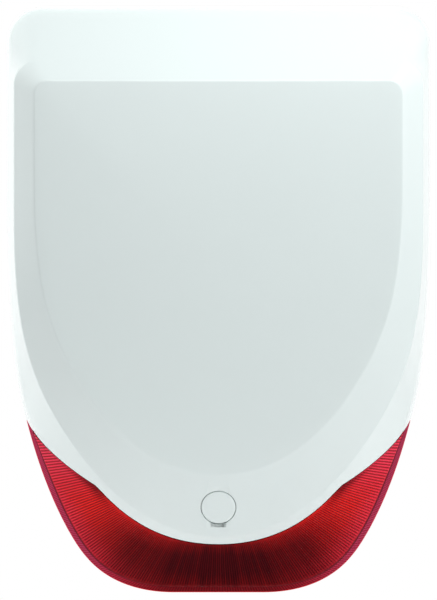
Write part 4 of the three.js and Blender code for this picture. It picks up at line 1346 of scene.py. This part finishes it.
def battery_holder():
    low, high = box_mm("battery_holder")
    tray = front_block("tray", low[0], high[0], -high[1], -low[1], low[2], high[2], 0.7)
    bays, mouths, room = [], [], CELL_RADIUS + 0.5
    for node in ("battery_cell_left", "battery_cell_right"):
        a, b = box_mm(node)[0][0] - 1.7, box_mm(node)[1][0] + 1.7
        place = pointing_x(a, -CELL_DEPTH, CELL_Z)
        bays.append(turned("bay", rod_profile(room, 0, b - a), None, 128, place))
        mouths.append(front_block("mouth", a, b, CELL_DEPTH, 40, CELL_Z - room, CELL_Z + room))
    tray = cut(tray, *bays, *mouths)
    notches = [front_block("notch", x - 5, x + 5, 22, 40, low[2] - 1, high[2] + 1) for x in (-32.9, 32.9)]
    tray = cut(tray, *notches)
    tray.name = "holder_moulding"
    finished(tray, "black", "base", "black_plastic", "battery_holder")


def battery_cells():
    """Two sleeved cells in series, each with its raised end to the right."""
    for node in ("battery_cell_left", "battery_cell_right"):
        low, high = box_mm(node)
        length = high[0] - low[0]
        place = pointing_x(low[0], -CELL_DEPTH, CELL_Z)
        split, shoulder = length * 0.74, length - 3.1
        body = [(0, 0.25), (14.6, 0.25), (14.9, 0.02), (16.0, 0.05), (16.5, 0.4), (16.6, 1.0),
                (16.6, split), (0, split)]
        finished(turned(f"{node}_sleeve", body, None, 128, place), "cell", "base", "cell_wrap", node)
        band = [(0, split), (16.6, split), (16.6, shoulder - 0.5), (16.4, shoulder), (15.9, shoulder + 0.3),
                (14.9, shoulder + 0.3), (14.7, shoulder), (0, shoulder)]
        finished(turned(f"{node}_band", band, None, 128, place), "cell_band", "base", "cell_wrap", node)
        ends = [(0, 0), (8, 0), (8.3, 0.12), (14, 0.12), (14.2, 0.3), (0, 0.3)]
        nub = [(0, shoulder - 0.2), (14.4, shoulder - 0.2), (14.4, shoulder + 0.1), (6.6, shoulder + 0.1),
               (5.3, shoulder + 0.7), (4.9, shoulder + 1.1), (4.9, length - 0.4), (4.4, length), (0, length)]
        caps = [turned("cap", profile, None, 96, place) for profile in (ends, nub)]
        finished(gathered(f"{node}_ends", *caps), "steel", "base", "zinc_steel", node)


def battery_contacts():
    for i in (1, 2, 3, 4):
        node = f"battery_contact_{i}"
        low, high = box_mm(node)
        x, z = front_place(node)
        plate = front_block("plate", low[0] + 0.1, high[0] - 0.1, -high[1], -low[1], low[2], high[2], 0.15)
        tab = front_block("tab", low[0], high[0], -low[1] - 2, -low[1], z - 2, z + 2, 0.2)
        cell_side = 1 if i in (1, 3) else -1
        place = turned_about_y(90 * cell_side, (x + cell_side * 0.28, -CELL_DEPTH, z))
        bosses = []
        for k in (0, 1):
            profile = [(0, -0.2), (3 - k, -0.2), (2.9 - k, 0.28 + 0.1 * k), (0, 0.3 + 0.1 * k)]
            bosses.append(turned("boss", profile, None, 40, place))
        finished(gathered(f"{node}_spring_plate", plate, tab, *bosses), "steel", "base", "zinc_steel", node)


# ---- Sounder ----
def sounder():
    place = front_place("sounder_disc")
    x, z = place
    near, far = depths("sounder_body")
    radius = 31
    cup = turned("cup", [
        (0, near), (radius - 0.4, near), (radius, near + 0.4), (radius, far - 3.4),
        (radius - 0.35, far - 3.2), (radius - 0.35, far - 2.6), (radius, far - 2.4), (radius, far - 0.5),
        (radius - 0.4, far), (radius - 1.8, far), (radius - 2.2, far - 0.4), (radius - 2.2, near + 2.2),
        (0, near + 2.2),
    ], place, 160)
    lugs = []
    for node in SOUNDER_SCREWS:
        hollow = rod(x, z, radius - 1.5, near - 1, near + 6, 96)
        lugs.append(cut(soft_rod(*front_place(node), 4.2, near, near + 2.7, 0.3, 64), hollow))
    body = unite(cup, *lugs)
    body = cut(body, *[rod(*front_place(node), 1.7, 5, 14) for node in SOUNDER_SCREWS],
               front_block("lead_slot", x + radius - 6, x + radius + 4, 18, 21, z + 8, z + 12))
    body.name = "sounder_cup"
    finished(body, "black", "base", "black_plastic", "sounder_body")
    near, far = depths("sounder_disc")
    profile = [(0, near), (radius - 3, near), (radius - 3, near + 0.5), (9.2, near + 0.5),
               (9, near + 0.6), (9, far), (0, far)]
    disc = turned("sounder_plate", profile, place)
    finished(disc, "brass", "base", "brass", "sounder_disc")
    mouth = radius - 2.6
    outside = [(6.6, 15), (6.9, 16.6), (7.6, 18.2), (8.9, 19.8), (11, 21.3), (14, 22.6), (18, 23.9),
               (23, 25), (mouth, 25.6), (mouth, 28), (mouth - 0.4, 28.4)]
    inside = [(mouth - 1.2, 28.4), (mouth - 1.6, 28), (mouth - 1.7, 27.2), (22.5, 26.4), (17.4, 25.6),
              (12.6, 24.4), (9.6, 22.6), (7.6, 20.7), (6.2, 18.6), (5.3, 16.6)]
    horn = turned("horn", [(5, 15), *outside, *inside], place, 160)
    cone = [(0, 17.4), (1.6, 18.4), (2.6, 20.6), (3.4, 23.6), (3.1, 24.6), (2, 25.2), (0, 25.4)]
    arms = [block("arm", (2, -0.6, -0.7), (15, 0.6, 0.7), 0.2, turned_about_y(turn, (x, -24.1, z)))
            for turn in (0, 120, 240)]
    horn = unite(horn, turned("cone", cone, place, 64), *arms)
    horn.name = "sounder_flare"
    finished(horn, "black", "base", "black_plastic", "sounder_horn")


# ---- Flash light ----
def housing_solid(skin):
    """The housing's outer form moved inwards by skin, as one closed solid."""
    limits = housing_rings(skin)
    count = len(OUTER)
    points = np.vstack([*limits, [[PANEL_CENTRE[0], -(FRONT - skin), PANEL_CENTRE[1]]]])
    last = (len(limits) - 1) * count
    faces = strip_faces(len(limits), count) + [tuple(range(count))]
    faces += [(last + i, last + (i + 1) % count, len(points) - 1) for i in range(count)]
    return piece_from("housing", points, faces)


def reflector():
    near, far = depths("strobe_reflector")
    within = moved(OUTER, 10.5)

    def inside(depth):
        return combine(prism("inside", within, near, depth), [lens_zone(-3)], "INTERSECT")
    tray = inside(near + 1.7)
    wall = combine(cut(inside(far), lens_zone(-4.6)), [housing_solid(6.8)], "INTERSECT")
    low, high = box_mm("strobe_board")
    tray = cut(unite(tray, wall),
               front_block("opening", low[0] - 1, high[0] + 1, 10, 16, -150, high[2] + 0.5),
               front_block("lead_slot", 14, 25, 13, 22, -130, -100),
               *[rod(*front_place(node), 1.7, 10, 16) for node in TRAY_SCREWS])
    tray.name = "reflector_tray"
    finished(tray, "chrome", "base", "reflector", "strobe_reflector")


def strobe_lights():
    low, high = box_mm("strobe_board")
    board = prism("board", rounded_outline(low[0], high[0], low[2], high[2], 1), -high[1], -low[1])
    board = cut(board, rod(*front_place("strobe_screw"), 1.7, 10, 18))
    board.name = "strobe_sheet"
    finished(board, "dark_board", "base", "strobe_board", "strobe_board")
    for i in (1, 2, 3, 4):
        node = f"strobe_led_{i}"
        (x, z), (near, far) = front_place(node), depths(node)
        base = front_block("base", x - 2.7, x + 2.7, near, near + 1.1, z - 2.7, z + 2.7, 0.2)
        finished(base, "cream", "base", "led_lens", node).name = f"{node}_base"
        angles = np.radians(np.linspace(0, 90, 12))
        reach = far - near - 1.0
        curve = [(2.2 * math.cos(a), near + 1.0 + reach * math.sin(a)) for a in angles[:-1]]
        dome = turned(f"{node}_dome", [(0, near + 1.0), *curve, (0, far)], (x, z), 48)
        finished(dome, "led", "base", "led_lens", node)


# ---- Tamper switch ----
def tamper_switch():
    low, high = box_mm("tamper_housing")
    x, z = front_place("tamper_housing")
    body = front_block("body", low[0], high[0], *depths("tamper_housing"), low[2], high[2], 0.5)
    seam = cut(front_block("seam", low[0] - 1, high[0] + 1, 14.4, 14.8, low[2] - 1, high[2] + 1),
               front_block("core", low[0] + 0.3, high[0] - 0.3, 13, 16, low[2] + 0.3, high[2] - 0.3))
    lead_slot = front_block("lead_slot", low[0] - 1, x - 2, 9, 12, z - 1.5, z + 1.5)
    body = cut(body, rod(x, z, 3.4, 0, 40, 64), lead_slot, seam)
    body.name = "tamper_case"
    finished(body, "grey", "base", "grey_plastic", "tamper_housing")
    near, far = depths("wall_plunger")
    profile = [(0, near), (2.2, near), (2.6, near + 0.15), (2.8, near + 0.5), (2.8, far - 0.2),
               (2.6, far), (0, far)]
    button = turned("wall_button", profile, (x, z), 64)
    finished(button, "red", "wall_plunger", "wire_red", "wall_plunger")
    near, far = depths("cover_plunger")
    profile = [(0, near), (2.6, near), (2.8, near + 0.2), (2.8, far - 4), (2.4, far - 3.1),
               (1.8, far - 2.4), (1.8, far - 0.6), (1.6, far - 0.2), (1.2, far), (0, far)]
    stem = turned("cover_button", profile, (x, z), 64)
    finished(stem, "red", "cover_plunger", "wire_red", "cover_plunger")


def leads():
    wires("battery_lead", 1.2, (68.7, -20, 84), (73, -21, 78), (78, -20, 62), (77.5, -18.5, 48),
          (77, -18, 37.4))
    wires("sounder_lead", 1, (-26, -19.5, 24), (-19, -20, 24.6), (-13, -21, 24), (-8.4, -18, 23))
    wires("strobe_lead", 1, (55, -18, -31.4), (54, -20, -42), (44, -17, -70), (30, -16, -100),
          (20, -17.5, -118), (17, -16, -125.6))


# ---- Stage, light and camera ----
FLOOR_RADIUS = 0.75
FLOOR_DROP = 0.02
SKY = {"+X": 0.76, "-X": 0.68, "+Y": 1.06, "-Y": 0.02, "+Z": 0.02, "-Z": 0.7}


def floor():
    """A round pale floor just under the siren."""
    low = CAD_BOX[0][2] - FLOOR_DROP
    turn = np.linspace(0, 2 * math.pi, 128, endpoint=False)
    mesh = bpy.data.meshes.new("floor")
    mesh.from_pydata([(FLOOR_RADIUS * math.cos(a), FLOOR_RADIUS * math.sin(a), low) for a in turn], [],
                     [tuple(range(128))])
    piece = bpy.data.objects.new("floor", mesh)
    bpy.context.collection.objects.link(piece)
    s = Shader("floor_pale")
    s.colour(s.mix(s.spread(s.noise(3, 3), 0, 1), (0.76, 0.76, 0.76), (0.8, 0.8, 0.8)))
    s.fixed(Roughness=0.9, Emission_Color=(1, 1, 1, 1), Emission_Strength=0.34)
    mesh.materials.append(s.material)


def area_light(name, place, target, size, power):
    data = bpy.data.lights.new(name, "AREA")
    data.shape = "RECTANGLE"
    data.size, data.size_y = size
    data.energy = power
    light = bpy.data.objects.new(name, data)
    bpy.context.collection.objects.link(light)
    light.location = place
    light.rotation_euler = (Vector(target) - Vector(place)).to_track_quat("-Z", "Y").to_euler()
    light.visible_camera = False
    return light


def surroundings():
    """A white backdrop, and soft light of its own strength from each side."""
    world = bpy.data.worlds.new("studio")
    bpy.context.scene.world = world
    world.use_nodes = True
    nodes, link = world.node_tree.nodes, world.node_tree.links.new
    axes = nodes.new("ShaderNodeSeparateXYZ")
    link(nodes.new("ShaderNodeTexCoord").outputs["Generated"], axes.inputs[0])

    def maths(operation, a, b, c=0.0):
        node = nodes.new("ShaderNodeMath")
        node.operation = operation
        for socket, value in zip(node.inputs, (a, b, c)):
            if isinstance(value, float):
                socket.default_value = value
            else:
                link(value, socket)
        return node.outputs[0]
    total = 0.0
    for side, strength in SKY.items():
        towards = maths("MULTIPLY", axes.outputs[side[1]], 1.0 if side[0] == "+" else -1.0)
        towards = maths("MAXIMUM", towards, 0.0)
        total = maths("MULTIPLY_ADD", maths("MULTIPLY", towards, towards), strength, total)
    background, backdrop = nodes["Background"], nodes.new("ShaderNodeBackground")
    link(total, background.inputs["Strength"])
    background.inputs["Color"].default_value = (1, 1, 1, 1)
    backdrop.inputs["Color"].default_value = (1, 1, 1, 1)
    seen = nodes.new("ShaderNodeMixShader")
    link(nodes.new("ShaderNodeLightPath").outputs["Is Camera Ray"], seen.inputs[0])
    link(background.outputs[0], seen.inputs[1])
    link(backdrop.outputs[0], seen.inputs[2])
    link(seen.outputs[0], nodes["World Output"].inputs["Surface"])


def camera():
    """Straight on from far away, with the whole image 294.4 mm high at the siren."""
    distance, image_height, sensor = 10.0, 0.2944, 36.0
    data = bpy.data.cameras.new("camera")
    data.sensor_width = sensor
    data.lens = sensor * (distance - 0.03) / image_height
    data.clip_end = 100
    viewer = bpy.data.objects.new("camera", data)
    bpy.context.collection.objects.link(viewer)
    viewer.location = (0, -distance, 0)
    viewer.rotation_euler = (math.pi / 2, 0, 0)
    bpy.context.scene.camera = viewer


bpy.context.scene.view_settings.view_transform = "Standard"
camera()
surroundings()
floor()
area_light("top_soft", (0.10, -0.25, 0.40), (0, -0.05, 0.05), (0.5, 0.25), 1.5)
area_light("right_soft", (0.75, -0.5, 0.25), (0, -0.06, 0), (0.5, 0.8), 2.4)
left_soft = area_light("left_soft", (-0.8, 0.35, 0.75), (0, -0.03, 0.05), (0.7, 0.7), 9.3)
left_soft.visible_glossy = False
front_cover()
flash_lens()
screw_cap()
back_plate()
grommet()
hinge_pins()
screw()
screw_seal()
screw_clip()
screw_insert()
main_board()
controller_chip()
terminal_block()
capacitor("capacitor_1")
capacitor("capacitor_2")
transformer()
sockets()
battery_holder()
battery_cells()
battery_contacts()
sounder()
reflector()
strobe_lights()
tamper_switch()
leads()
for small_screw in SMALL_SCREWS:
    pan_screw(small_screw)
